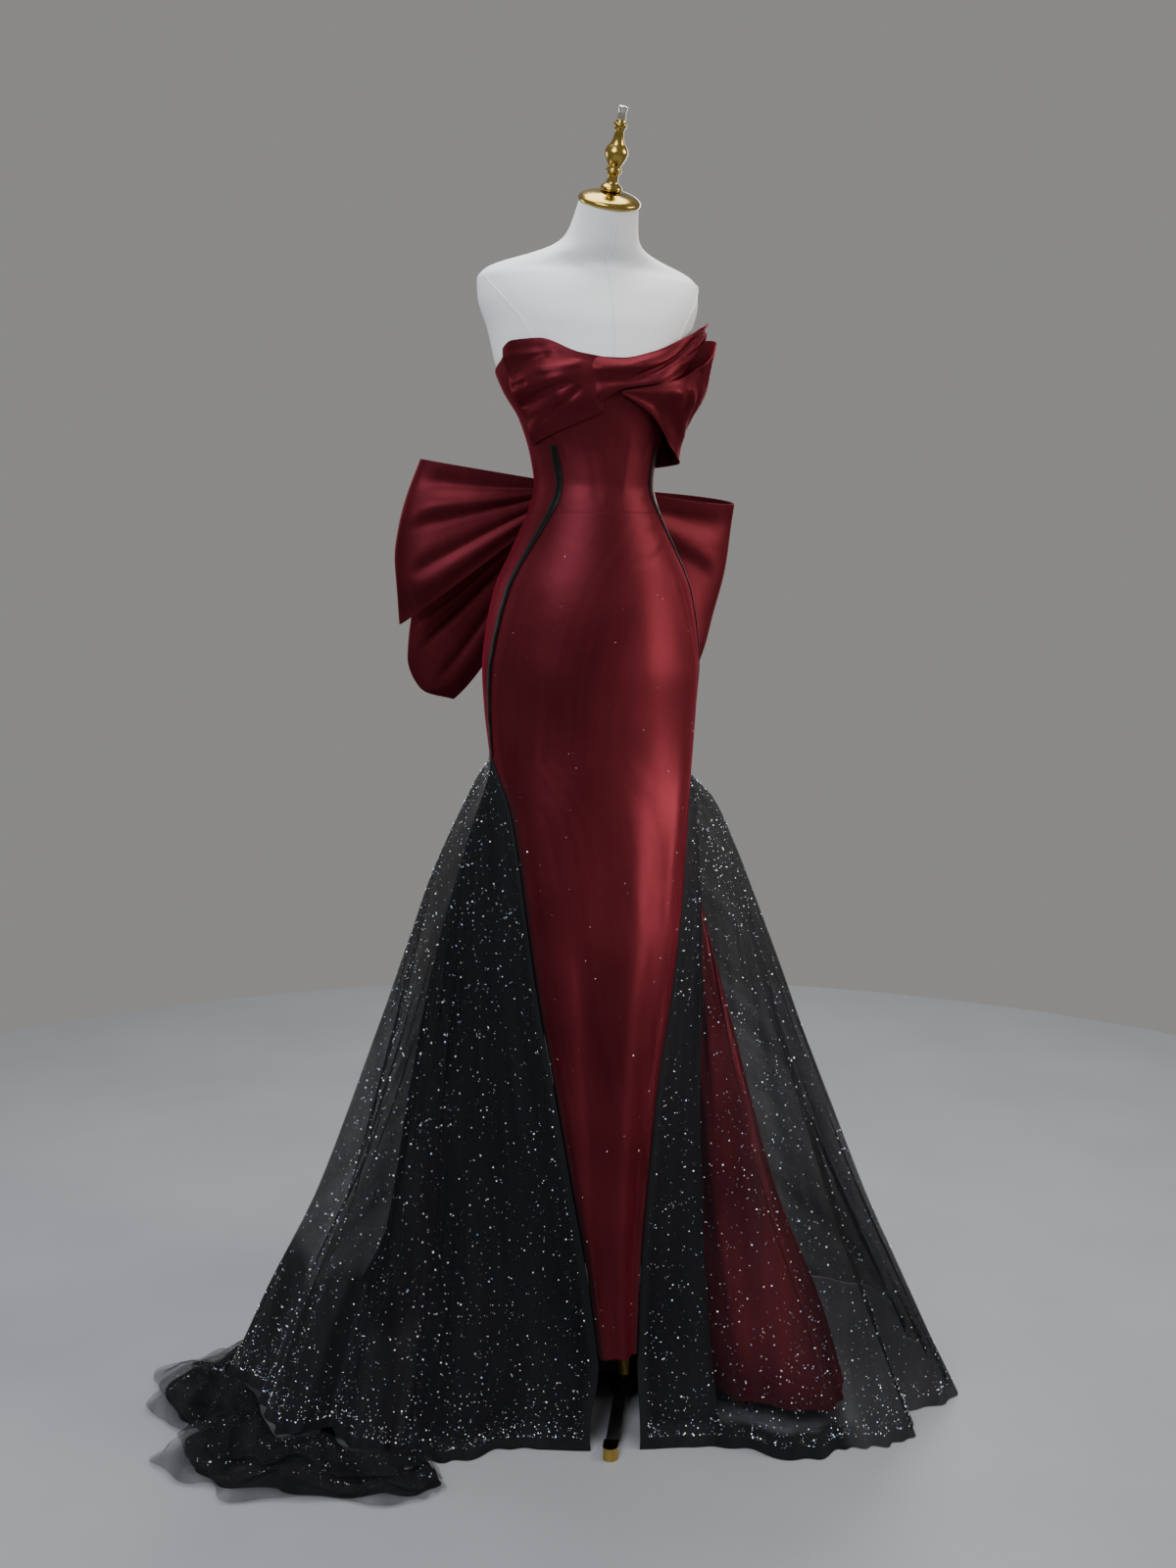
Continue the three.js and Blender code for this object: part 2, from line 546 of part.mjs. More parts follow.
// A layer as a cloth wall over a list of shares of the way round, from just under the hips to its hem
function flaredWall(sign, layer, shares, lowHeights, thickness) {
  const at = (u, v) => {
    const s = stepped(shares, u);
    const low = lowHeights.map((z) => (typeof z === "function" ? z(s) : z));
    const heights = [...low, ...FALL_HEIGHTS.slice(0, -1), FLARE_Z - SEAM_GAP];
    return layer(s, 1 - stepped(heights, v) / FLARE_Z);
  };
  return clothWall(at, shares.length - 1, lowHeights.length + FALL_HEIGHTS.length - 1, thickness, sign);
}
const NET_COLUMNS = 28;
const steps = (first, last, count) => Array.from({ length: count + 1 }, (_, i) => mix(first, last, i / count));
const netShares = steps(0, 1, NET_COLUMNS);
const innerShares = [0.4 / NET_COLUMNS, ...netShares.slice(1, 11), ...steps(12 / NET_COLUMNS, 0.985, 8)];
add("net_left", flaredWall(1, netLeft, netShares, [1, 50], NET), blackNet);
add("inner_net_left", flaredWall(1, innerLeft, innerShares.slice(0, 4), [8, 50], NET), blackNet);
add("inner_net_right", flaredWall(-1, innerRight, innerShares, [6, 50], NET), blackNet);
add("satin_flare_left", flaredWall(1, satinLeft, steps(0.12, 0.98, 14), [27], SATIN), wineSatin);
add("satin_flare_right", flaredWall(-1, satinRight, steps(0.16, 0.98, 11), [27], SATIN), wineSatin);

// The train lies on the floor beside the net's hem on the wearer's right: one rounded heap, flat underneath,
// stepped at its edge where the layers end. The net's hem stands on its ridge.
const HEAP = { first: 7 / NET_COLUMNS, last: 20 / NET_COLUMNS, ridge: 30 };
const TRAIN_EDGE = [
  [-262, -212], [-300, -226], [-368, -204], [-440, -172], [-520, -136], [-566, -84], [-592, -20], [-560, 40],
  [-590, 104], [-584, 190], [-516, 236], [-452, 268], [-400, 284],
];
const HEAP_SECTION = [
  { share: 0, height: 9, lift: 0 },
  { share: 0.3, height: 24, lift: 6 },
  { share: 0.55, height: 19, lift: 9 },
  { share: 0.56, height: 14, lift: 8 },
  { share: 0.78, height: 13, lift: 7 },
  { share: 0.79, height: 8, lift: 5 },
  { share: 0.97, height: 6, lift: 3 },
  { share: 1, height: 2.5, lift: 0 },
];
const trainEdge = outlineOf(TRAIN_EDGE);
const heapShare = (s) => (s - HEAP.first) / (HEAP.last - HEAP.first);
const onHeap = (s) => s > HEAP.first - 1e-6 && s < HEAP.last + 1e-6;
const heapRidge = (s) => HEAP.ridge * smooth(heapShare(s) * 3.5) * smooth((1 - heapShare(s)) * 4) + 4;
const HEM_LIFT = 1.6; // the net's sloping hem above the heap's ridge
const netHem = (s) => (onHeap(s) ? heapRidge(s) + HEM_LIFT : 1);
add("net_right", flaredWall(-1, netRight, netShares, [netHem, (s) => netHem(s) + 30], NET), blackNet);

function trainHeap() {
  const rowCount = Math.round((HEAP.last - HEAP.first) * NET_COLUMNS);
  const row = (i) => {
    const s = HEAP.first + i / NET_COLUMNS;
    const ridge = netRight(s, 1 - netHem(s) / FLARE_Z);
    const inward = ridge.clone().setZ(0).normalize();
    const end = trainEdge(i / rowCount);
    const top = heapRidge(s);
    const wave = Math.sin(i * 2.1) + 0.6 * Math.sin(i * 3.7 + 1);
    const outer = HEAP_SECTION.map(({ share, height, lift }) => {
      const place = ridge.clone().addScaledVector(inward, 2).lerp(end, share);
      const wavy = (height + lift * wave) * mix(0.45, 1, top / HEAP.ridge);
      return place.setZ(Math.min(share === 0 ? top : 60, wavy));
    });
    outer[0].setZ(top);
    const crest = ridge.clone().addScaledVector(inward, -3).setZ(top);
    const inner = ridge.clone().addScaledVector(inward, -16).setZ(3);
    return [inner, crest, ...outer];
  };
  const rows = Array.from({ length: rowCount + 1 }, (_, i) => row(i));
  const count = rows[0].length;
  const top = rows.flat();
  const bottom = top.map((p) => p.clone().setZ(0));
  const index = [];
  const triangle = (p, q, r) => index.push(p, r, q);
  for (let i = 0; i < rowCount; i++) {
    for (let j = 0; j + 1 < count; j++) {
      const a = i * count + j;
      const b = a + count;
      triangle(a, a + 1, b + 1);
      triangle(a, b + 1, b);
      const [c, d] = [a + top.length, b + top.length];
      triangle(c, d + 1, c + 1);
      triangle(c, d, d + 1);
    }
  }
  const wall = (a, b) => {
    triangle(a, b + top.length, b);
    triangle(a, a + top.length, b + top.length);
  };
  for (let j = 0; j + 1 < count; j++) {
    wall(j, j + 1);
    wall(rowCount * count + j + 1, rowCount * count + j);
  }
  for (let i = 0; i < rowCount; i++) {
    wall((i + 1) * count, i * count);
    wall((i + 1) * count - 1, (i + 2) * count - 1);
  }
  const geometry = new THREE.BufferGeometry();
  const all = [...top, ...bottom].flatMap((p) => [p.x, p.y, p.z]);
  geometry.setAttribute("position", new THREE.Float32BufferAttribute(all, 3));
  geometry.setIndex(index);
  return geometry;
}
add("train_heap", trainHeap(), blackNet);

// Bust drape: a gathered panel over the wearer's right cup, a rolled strip up to the left, and a hanging loop
const DRAPE = { first: -70, last: -15, bottom: 1320, stand: 3.2, folds: 4.5 };
const drapeTop = (angle) => topEdge(Math.abs(angle)) + 5;
function drape() {
  const at = (u, v) => {
    const lean = mix(-9, 0, v);
    const angle = mix(DRAPE.first + lean * (1 - u), DRAPE.last, u);
    const low = DRAPE.bottom + 44 * u * u + 8 * Math.sin(Math.PI * u);
    const z = mix(low, drapeTop(angle), v);
    const gather = 0.35 + 0.65 * Math.sin(Math.PI * Math.min(1, 0.2 + 0.9 * u));
    const fold = Math.sin(radians(360 * (2.1 * v - 0.55 * u + 0.15)));
    const edge = Math.min(1, v * 5) * Math.min(1, (1 - v) * 7);
    return skin(angle, z, GOWN_OFFSET + DRAPE.stand + (fold + 1) * DRAPE.folds * gather * edge * 0.6);
  };
  return clothWall(at, 12, 14, SATIN);
}
add("bust_drape", drape(), wineSatin);

const STRIP = [
  { angle: -14.2, top: 1437, bottom: 1368, stand: 5 },
  { angle: 2, top: 1436, bottom: 1392, stand: 8 },
  { angle: 22, top: 1448, bottom: 1402, stand: 10 },
  { angle: 42, top: 1470, bottom: 1419, stand: 11 },
  { angle: 60, top: 1489, bottom: 1446, stand: 13 },
  { angle: 76, top: 1503, bottom: 1472, stand: 17 },
];
const stripTop = column(STRIP, "angle", "top");
const stripBottom = column(STRIP, "angle", "bottom");
const stripStand = column(STRIP, "angle", "stand");
function strip() {
  const at = (u, v) => {
    const angle = mix(STRIP[0].angle, STRIP[STRIP.length - 1].angle, u);
    const z = mix(stripBottom(angle), stripTop(angle), v);
    const roll = 5 * Math.sin(Math.PI * v) + 2.2 * Math.sin(radians(360 * (1.5 * v + 0.8 * u)));
    return skin(angle, z, GOWN_OFFSET + stripStand(angle) + roll - 3);
  };
  return clothWall(at, 14, 8, SATIN);
}
add("bust_strip", strip(), wineSatin);

const LOOP = [
  { turn: 0, angle: 3, top: 1391, bottom: 1386, stand: 6 },
  { turn: 0.2, angle: 24, top: 1401, bottom: 1362, stand: 9 },
  { turn: 0.4, angle: 46, top: 1419, bottom: 1334, stand: 16 },
  { turn: 0.58, angle: 62, top: 1441, bottom: 1305, stand: 30 },
  { turn: 0.74, angle: 78, top: 1476, bottom: 1298, stand: 35 },
  { turn: 0.86, angle: 91, top: 1482, bottom: 1296, stand: 27 },
  { turn: 1, angle: 103, top: 1462, bottom: 1292, stand: 2 },
];
const loopAngle = column(LOOP, "turn", "angle");
const loopTop = column(LOOP, "turn", "top");
const loopBottom = column(LOOP, "turn", "bottom");
const loopStand = column(LOOP, "turn", "stand");
function bustLoop() {
  const at = (u, v) => {
    const z = mix(loopBottom(u), loopTop(u) - 0.6, v);
    const ends = Math.sin(Math.PI * Math.min(1, u * 1.05));
    const fold = 2.4 * Math.sin(radians(360 * (1.6 * v + 0.7 * u))) * ends;
    return skin(loopAngle(u), z, GOWN_OFFSET + loopStand(u) + fold);
  };
  return clothWall(at, 16, 8, SATIN);
}
add("bust_loop", bustLoop(), wineSatin);

// Back bow: a folded knot at centre back of the waist, an upper and a lower loop each side. A loop is one
// band that leaves the knot, turns at its outer end and comes back behind itself.
const KNOT = { y: 90.8, z: 1245, halfWidth: 27, halfDepth: 25, halfHeight: 36 };
const UPPER_RIGHT = {
  ends: [{ v: 0, reach: 248, z: 1068 }, { v: 0.4, reach: 255, z: 1163 }, { v: 0.6, reach: 250, z: 1210 },
    { v: 1, reach: 218, z: 1308 }],
  y: 132, away: 1, halfDepth: 17, swell: 20, low: -8, high: 30, front: -4, pleat: 6, gap: SEAM_GAP, sag: 0,
};
const UPPER_LEFT = {
  ends: [{ v: 0, reach: 205, z: 968 }, { v: 0.4, reach: 240, z: 1066 }, { v: 0.8, reach: 270, z: 1190 },
    { v: 1, reach: 278, z: 1250 }],
  y: 132, away: 1, halfDepth: 17, swell: 20, low: -8, high: 26, front: -11, pleat: 6, gap: SEAM_GAP, sag: 0,
};
const LOWER_RIGHT = {
  ends: [{ v: 0, reach: 152, z: 952 }, { v: 0.3, reach: 198, z: 966 }, { v: 0.6, reach: 222, z: 1016 },
    { v: 1, reach: 216, z: 1080 }],
  y: 200, away: 0.4, halfDepth: 12, swell: 12, low: -33, high: -16, front: 0, pleat: 3, gap: 1.9, sag: 36,
};
const LOWER_LEFT = {
  ends: [{ v: 0, reach: 128, z: 966 }, { v: 0.3, reach: 160, z: 984 }, { v: 0.6, reach: 184, z: 1030 },
    { v: 1, reach: 182, z: 1066 }],
  y: 222, away: 0.24, halfDepth: 10, swell: 10, low: -33, high: -20, front: 0, pleat: 0, gap: 1.9, sag: 0,
};
function bowLoop(sign, shape) {
  const endReach = column(shape.ends, "v", "reach");
  const endHeight = column(shape.ends, "v", "z");
  return (u, v) => {
    const turn = Math.PI * u;
    const reach = Math.sin(turn) ** 0.75;
    const start = KNOT.z + mix(shape.low, shape.high, v);
    const tilt = shape.front * reach * Math.cos(turn) * smooth(v * 3 - 2);
    const sag = shape.sag * Math.sin(Math.PI * reach) * (1 - v) ** 2;
    const z = mix(start, endHeight(v), reach) + tilt - sag;
    const x = sign * mix(KNOT.halfWidth + shape.gap, endReach(v), reach);
    const pleat = shape.pleat * Math.sin(radians(360 * (2.4 * v + 0.2))) * Math.sin(turn) * (1 - 0.6 * reach);
    const middle = mix(KNOT.y + 4, shape.y, reach ** shape.away);
    const y = middle - Math.cos(turn) * (shape.halfDepth + shape.swell * Math.sin(turn)) + pleat;
    return point(x, y, z);
  };
}
const bow = [
  ["bow_loop_upper_right", -1, UPPER_RIGHT, 16, 8],
  ["bow_loop_upper_left", 1, UPPER_LEFT, 16, 8],
  ["bow_loop_lower_right", -1, LOWER_RIGHT, 12, 6],
  ["bow_loop_lower_left", 1, LOWER_LEFT, 12, 6],
];
for (const [name, sign, shape, columns, rows] of bow) {
  add(name, clothWall(bowLoop(sign, shape), columns, rows, SATIN, sign), wineSatin);
}

// The knot: rounded rings along X with flat ends, where the loops' pinched ends meet it
function bowKnot() {
  const rings = [];
  for (const [x, scale] of [[-1, 0.84], [-0.7, 0.97], [0, 1], [0.7, 0.97], [1, 0.84]]) {
    const ring = [];
    for (let i = 0; i < 16; i++) {
      const a = (2 * Math.PI * i) / 16;
      const y = KNOT.y + KNOT.halfDepth * scale * Math.cos(a);
      ring.push(point(x * KNOT.halfWidth, y, KNOT.z + KNOT.halfHeight * scale * Math.sin(a)));
    }
    rings.push(ring);
  }
  return ringSolid(rings);
}
add("bow_knot", bowKnot(), wineSatin);

// The part's origin is the middle of its footprint, on the floor
const extent = new THREE.Box3().setFromObject(gown, true);
gown.position.set(-(extent.min.x + extent.max.x) / 2, -(extent.min.y + extent.max.y) / 2, -extent.min.z);

export default gown;
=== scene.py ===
import bpy
import numpy as np
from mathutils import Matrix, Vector


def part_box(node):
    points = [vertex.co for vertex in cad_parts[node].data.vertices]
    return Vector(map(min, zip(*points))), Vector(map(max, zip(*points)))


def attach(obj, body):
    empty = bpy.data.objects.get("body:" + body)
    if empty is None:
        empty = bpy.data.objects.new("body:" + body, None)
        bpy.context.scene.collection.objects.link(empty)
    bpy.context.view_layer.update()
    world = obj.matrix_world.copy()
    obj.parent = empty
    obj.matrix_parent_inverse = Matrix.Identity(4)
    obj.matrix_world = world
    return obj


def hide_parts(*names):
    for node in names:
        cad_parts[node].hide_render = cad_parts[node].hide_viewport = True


# Looks of a strapless mermaid gown of wine-red satin with a black net overskirt, on a limbless dress form.
# Tables and surfaces are in millimetres round the gown's own upright axis, with centre front at angle 0
# facing -Y and the wearer's left at positive angles. Meshes are stored in metres, in the frame's place.

bl_info = {
    "name": "Strapless mermaid gown",
    "version": (1, 0, 0),
    "blender": (4, 2, 0),
    "location": "View3D > Sidebar > Gown",
    "description": "Cloth, trim, dress form and stage of a strapless mermaid gown",
    "category": "Object",
}

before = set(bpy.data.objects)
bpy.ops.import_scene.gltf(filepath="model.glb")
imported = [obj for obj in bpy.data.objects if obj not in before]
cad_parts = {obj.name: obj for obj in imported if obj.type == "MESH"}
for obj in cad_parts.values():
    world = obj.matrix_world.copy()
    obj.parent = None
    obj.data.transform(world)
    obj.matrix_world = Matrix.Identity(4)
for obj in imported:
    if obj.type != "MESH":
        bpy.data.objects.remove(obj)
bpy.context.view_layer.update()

# The gown's axis stands at a fixed place from the stand's pole
POLE_X, POLE_Y = 27.0, -63.0
POLE_LOW, POLE_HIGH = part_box("pole")
AXIS = (np.array(POLE_LOW) + np.array(POLE_HIGH)) / 2 * [1, 1, 0] - np.array([POLE_X, POLE_Y, 0]) / 1000

GOWN_OFFSET = 3.7  # form's skin to the gown's outer face
FORM_EASE = 0.5
FORM_BOTTOM_Z, NECK_TOP_Z = 892.0, 1652.0
WAIST_Z, FLARE_Z, PANEL_HEM_Z = 1226.0, 886.0, 108.0
SIDE_ANGLE = 88.0
MM_PER_DEGREE = 1.75  # round the body, near enough for laying creases
SEAM = 0.12  # open width of a sewn seam
SEAM_ROLL = 0.9  # how far a sewn side rolls under
STEP = 1e-3  # share of a surface over which its directions are measured
SIDES = (("right", -1), ("left", 1))


def table(names, rows):
    """Rows of numbers as a dictionary of named columns."""
    return dict(zip(names.split(), np.array(rows, float).T))


def column(rows, key, name):
    """A column's value at a key: cubic steps between the rows that never pass beyond two neighbours."""
    x, y = rows[key], rows[name]
    slope = np.diff(y) / np.diff(x)
    product = slope[:-1] * slope[1:]
    total = np.where(product > 0, slope[:-1] + slope[1:], 1)
    tangent = np.concatenate([slope[:1], np.where(product > 0, 2 * product / total, 0), slope[-1:]])

    def value(at):
        at = np.clip(at, x[0], x[-1])
        i = np.clip(np.searchsorted(x, at, side="right") - 1, 0, len(x) - 2)
        h = x[i + 1] - x[i]
        t = (at - x[i]) / h
        rise = t * t * (3 - 2 * t) * (y[i + 1] - y[i])
        return y[i] + rise + t * (1 - t) ** 2 * h * tangent[i] + t * t * (t - 1) * h * tangent[i + 1]

    return value


def columns(rows, key, names):
    """Several columns of a table, each as a function of the key."""
    return [column(rows, key, name) for name in names.split()]


def mix(a, b, t):
    """The value a share t of the way from a to b."""
    return a + (b - a) * t


def smooth(t):
    """An ease from 0 to 1: 3 t squared less 2 t cubed."""
    t = np.clip(t, 0, 1)
    return t * t * (3 - 2 * t)


def bell(distance, spread):
    """A bell curve: e to the power of minus the squared ratio of distance to spread."""
    return np.exp(-((distance / spread) ** 2))


def wave(turns):
    """A sine that repeats at each whole number."""
    return np.sin(2 * np.pi * turns)


def points(x, y, z):
    """Arrays of x, y and z as one array of points."""
    return np.stack(np.broadcast_arrays(x, y, z), -1).astype(float)


def lengths(vectors):
    """Vectors' lengths, kept as a last axis of one."""
    return np.maximum(np.linalg.norm(vectors, axis=-1, keepdims=True), 1e-9)


def creases(x, z, rows):
    """Sum of soft ridges, or troughs where out is below 0. Each row is a line from (x0, z0) to (x1, z1), bowed
    sideways by bow; its height falls off as a bell across the line and eases to nothing at both ends."""
    total = np.zeros(np.broadcast(x, z).shape)
    for x0, z0, x1, z1, width, out, bow in rows:
        dx, dz = x1 - x0, z1 - z0
        length = np.hypot(dx, dz)
        along = ((x - x0) * dx + (z - z0) * dz) / length**2
        aside = ((x - x0) * dz - (z - z0) * dx) / length - 4 * bow * along * (1 - along)
        total += out * bell(aside, width) * smooth(along * 4 + 0.4) * smooth((1 - along) * 4 + 0.4)
    return total


# ---- Dress form and fitted surfaces ----
FORM = table("z width front back y tilt", [
    (FORM_BOTTOM_Z, 143, 107, 117, 0, 0), (953, 150, 113, 125, 0, 0), (1009, 153, 118, 130, -1, 0),
    (1065, 148, 116, 124, -3, 0), (1121, 137, 110, 110, -5, 0), (1176, 114, 97, 90, -8, 0),
    (1232, 90, 83, 73, -10, 0), (1267, 82, 76, 67, -10, 0), (1302, 86, 79, 69, -8, 0),
    (1358, 102, 92, 78, -5, 0), (1399, 125, 102, 86, 0, 0), (1434, 138, 105, 90, 4, 0),
    (1483, 149, 106, 91, 7, 0), (1530, 163, 97, 86, 10, 0), (1554, 164, 86, 76, 11, 0),
    (1567, 155, 76, 68, 9, 2), (1577, 135, 70, 62, 3, 5), (1585, 108, 63, 58, -8, 8),
    (1593, 80, 56, 54, -24, 11), (1602, 60, 51, 49, -39, 14), (1613, 51, 47, 46, -50, 17),
    (1630, 46, 44, 44, -62, 21), (NECK_TOP_Z, 42, 41, 41, -76, 26),
])
BUST_ANGLE, BUST_Z, BUST_OUT, BUST_SPREAD_ANGLE, BUST_SPREAD_Z = 36, 1398, 13, 19, 33
form_width, form_front, form_back, form_y, form_tilt = columns(FORM, "z", "width front back y tilt")


def skin(angle, z, offset=0.0):
    """A point on the form moved out by an offset: a half ellipse in front and one behind at each height, with
    two bell-shaped cups at the bust, each section turned forward by its tilt."""
    a = np.radians(angle)
    cup = BUST_OUT * bell(z - BUST_Z, BUST_SPREAD_Z) * bell(np.abs(angle) - BUST_ANGLE, BUST_SPREAD_ANGLE)
    depth = np.where(np.abs(angle) <= 90, form_front(z), form_back(z)) + offset
    x = (form_width(z) + offset + cup) * np.sin(a)
    y = -(depth + cup) * np.cos(a)
    tilt = np.radians(form_tilt(z))
    return points(x, form_y(z) + y * np.cos(tilt), z + y * np.sin(tilt))


princess = column(table("z angle", [
    (FLARE_Z, SIDE_ANGLE), (984, 82), (1066, 76), (1144, 70), (1207, 60), (1260, 51), (1320, 54), (1360, 60),
    (1412, 67), (1500, 67),
]), "z", "angle")
top_edge = column(table("angle z", [
    (0, 1429), (20, 1437), (42, 1457), (60, 1456), (80, 1434), (110, 1420), (180, 1414),
]), "angle", "z")
SEAM_TOP, SIDE_SEAM = 67.0, 106.0


def degrees_of(length, z):
    """The angle round the body that a length takes at a height."""
    return np.degrees(length / form_width(z))


# Drag lines pulled from the seams: start angle in mm round the body, height, end, half width, out, bow
BODICE_CREASES = [
    (58, 1232, 88, 1236, 2.2, 0.7, 1), (46, 1246, 84, 1258, 3.0, 0.5, -2), (-50, 1234, -84, 1238, 2.6, 0.5, -1),
    (18, 1250, 30, 1330, 7, 0.7, 3), (-22, 1240, -34, 1320, 8, -0.7, -2), (60, 1300, 74, 1352, 5, -0.6, 2),
    (-2, 1240, 4, 1370, 11, -0.6, 0), (-70, 1300, -96, 1350, 5, 0.7, 2),
]
HIP_CREASES = [
    (48, 1208, 90, 1221, 2.2, 0.9, 1), (38, 1196, 88, 1208, 2.4, -0.8, 1), (52, 1186, 96, 1198, 2.4, 0.9, 2),
    (22, 1166, 78, 1190, 3.2, 0.9, 3), (16, 1152, 70, 1174, 3.4, -0.7, 3), (-46, 1200, -92, 1212, 2.8, 0.6, -2),
    (-20, 1178, -70, 1192, 3.6, -0.5, -2), (74, 1150, 104, 1000, 8, 1.1, 4), (90, 1130, 122, 960, 5, -0.9, 4),
    (30, 1120, 44, 900, 16, 0.9, 5), (-30, 1130, -50, 900, 18, -0.8, -4), (4, 1150, -4, 930, 14, -0.6, 2),
]
BACK_CREASES = [
    (150, 1222, 210, 1196, 4, 0.8, 2), (150, 1190, 230, 1150, 5, -0.8, 3), (190, 1160, 250, 1040, 9, 0.9, 5),
    (130, 1120, 160, 920, 12, -0.8, 5), (240, 1140, 262, 930, 12, 0.9, -4), (206, 1060, 216, 900, 10, -0.9, 0),
]


def fitted(low_angle, high_angle, low, high, relief):
    """A panel of the fitted gown between two seams: the skin at the gown's offset, with its creases, rolled
    under by a bell curve within two millimetres of each sewn side."""

    def at(u, v):
        z = mix(low, high(u) if callable(high) else high, v)
        first, last = low_angle(z), high_angle(z)
        angle = mix(first, last, u)
        width = np.abs(last - first) * MM_PER_DEGREE
        rolled = bell(u * width, 1.1) + bell((1 - u) * width, 1.1)
        arc = angle * MM_PER_DEGREE
        out = creases(arc, z, relief) if relief is not BACK_CREASES else creases(np.abs(arc), z, relief)
        return skin(angle, z, GOWN_OFFSET + out - SEAM_ROLL * rolled)

    return at


# ---- Front panel and flared layers ----
TONGUE = table("z width centre edge middle", [
    (PANEL_HEM_Z, 26.8, -18.6, 165, 178), (208, 36.7, -18, 148, 167), (332, 55.1, -17, 128, 155),
    (457, 75.3, -14.8, 109, 145), (548, 92.6, -12, 98, 138), (652, 108.6, -9.5, 88, 131),
    (744, 119.9, -7, 74, 125), (810, 129, -4.2, 55, 120), (860, 141, -1, 24, 115),
    (FLARE_Z, 143 + GOWN_OFFSET, 0, 4, 107 + GOWN_OFFSET),
])
tongue_width, tongue_centre, tongue_edge, tongue_middle = columns(TONGUE, "z", "width centre edge middle")

# Long folds of the falling panel: share across at the top, height, share at the bottom, height, half width
# in share of the half panel, out in mm and bow
PANEL_FOLDS = [
    (0.60, 930, 0.46, 420, 0.10, 3.0, 0.02), (0.82, 900, 0.78, 300, 0.07, -2.6, 0.01),
    (0.24, 760, -0.10, 112, 0.17, 8.0, 0.04), (-0.26, 640, -0.50, 112, 0.13, -5.0, -0.02),
    (-0.55, 720, -0.72, 112, 0.13, 3.6, 0.02), (0.58, 600, 0.40, 112, 0.15, -6.0, 0.02),
    (-0.75, 860, -0.80, 300, 0.08, -2.4, 0.01), (0.05, 940, 0.16, 600, 0.2, -1.8, 0.02),
    (-0.35, 930, -0.25, 640, 0.2, 1.6, -0.02),
]
FOLD_SCALE = 1000.0  # heights are put in the same order of size as the shares across


def tongue(turn, z, folds=()):
    """A point of the front panel below the hips: an arc of the panel's width at each height, from its edges
    forward to its middle, drawn a little to one side, with its long folds."""
    a, last = np.radians(SIDE_ANGLE * turn), np.radians(SIDE_ANGLE)
    share = (np.cos(a) - np.cos(last)) / (1 - np.cos(last))
    fade = (1 - turn * turn) * smooth((FLARE_Z - z) / 500)
    crease = 2.5 * np.sin(np.radians(540 * turn)) * fade
    lines = [(x0, z0 / FOLD_SCALE, x1, z1 / FOLD_SCALE, w, out, bow) for x0, z0, x1, z1, w, out, bow in folds]
    fold = creases(turn, z / FOLD_SCALE, lines) * smooth((1 - np.abs(turn)) * 6) * smooth((FLARE_Z + 60 - z) / 150)
    x = tongue_centre(z) + tongue_width(z) * np.sin(a) / np.sin(last)
    return points(x, -(tongue_edge(z) + (tongue_middle(z) - tongue_edge(z) + crease) * share + fold), z)


BRIDGE_LOW, BRIDGE_HIGH = 806.0, 948.0


def front_panel(u, v):
    """The front skirt panel: fitted skin over the hips, then the falling tongue. Between two heights the cubic
    that leaves and reaches them along the cloth's own slope takes the place of the corner at the flare."""
    z, turn = mix(PANEL_HEM_Z, WAIST_Z, v), mix(-1, 1, u)

    def above(z):
        angle = turn * (princess(z) - degrees_of(SEAM, z))
        out = creases(angle * MM_PER_DEGREE, z, HIP_CREASES)
        return skin(angle, z, GOWN_OFFSET + out - SEAM_ROLL * bell((1 - np.abs(turn)) * 150, 1.2))

    def below(z):
        return tongue(turn * 0.998, z, PANEL_FOLDS)

    low, high = np.full_like(z, BRIDGE_LOW), np.full_like(z, BRIDGE_HIGH)
    drop = BRIDGE_HIGH - BRIDGE_LOW
    t = np.clip((z - BRIDGE_LOW) / drop, 0, 1)[..., None]
    start, end = below(low), above(high)
    leave, reach = (start - below(low - 2)) / 2 * drop, (above(high + 2) - end) / 2 * drop
    bridge = start + t**2 * (3 - 2 * t) * (end - start) + t * (1 - t) ** 2 * leave + t**2 * (t - 1) * reach
    bridge[..., 2] = z
    plain = np.where((z >= FLARE_Z)[..., None], above(z), below(z))
    inside = smooth((1 - np.abs(turn)) / 0.1)[..., None]
    within = ((z > BRIDGE_LOW) & (z < BRIDGE_HIGH))[..., None]
    return np.where(within, mix(plain, bridge, inside), plain)


NET_FLOOR_LEFT = [
    (-3, -206), (55, -223), (125, -254), (190, -290), (252, -312), (318, -300), (380, -264), (450, -208),
    (492, -110), (505, 0), (488, 120), (430, 235), (340, 330), (225, 400), (110, 436), (1, 448),
]
NET_FLOOR_RIGHT = [
    (-64, -188), (-118, -166), (-176, -146), (-232, -140), (-290, -146), (-350, -138), (-408, -110), (-458, -66),
    (-488, -4), (-496, 70), (-482, 146), (-436, 222), (-356, 300), (-240, 372), (-115, 428), (-1, 448),
]
INNER_FLOOR_RIGHT = [
    (-58, -180), (-112, -150), (-168, -124), (-218, -110), (-262, -108), (-306, -96), (-348, -68), (-382, -24),
    (-402, 30), (-404, 90), (-386, 150), (-344, 210), (-280, 266), (-190, 320), (-92, 358), (-2, 370),
]
SATIN_FLOOR_LEFT = [
    (20, -120), (60, -126), (122, -134), (176, -196), (250, -272), (292, -214), (310, -140), (322, -70),
    (326, 0), (316, 70), (290, 140), (246, 200), (190, 250), (126, 288), (62, 310), (1.5, 318),
]
SATIN_FLOOR_RIGHT = [
    (-60, -112), (-92, -112), (-132, -106), (-176, -88), (-214, -66), (-246, -40), (-272, -8), (-290, 28),
    (-296, 66), (-290, 106), (-270, 146), (-236, 186), (-190, 222), (-130, 254), (-66, 280), (-1.5, 290),
]
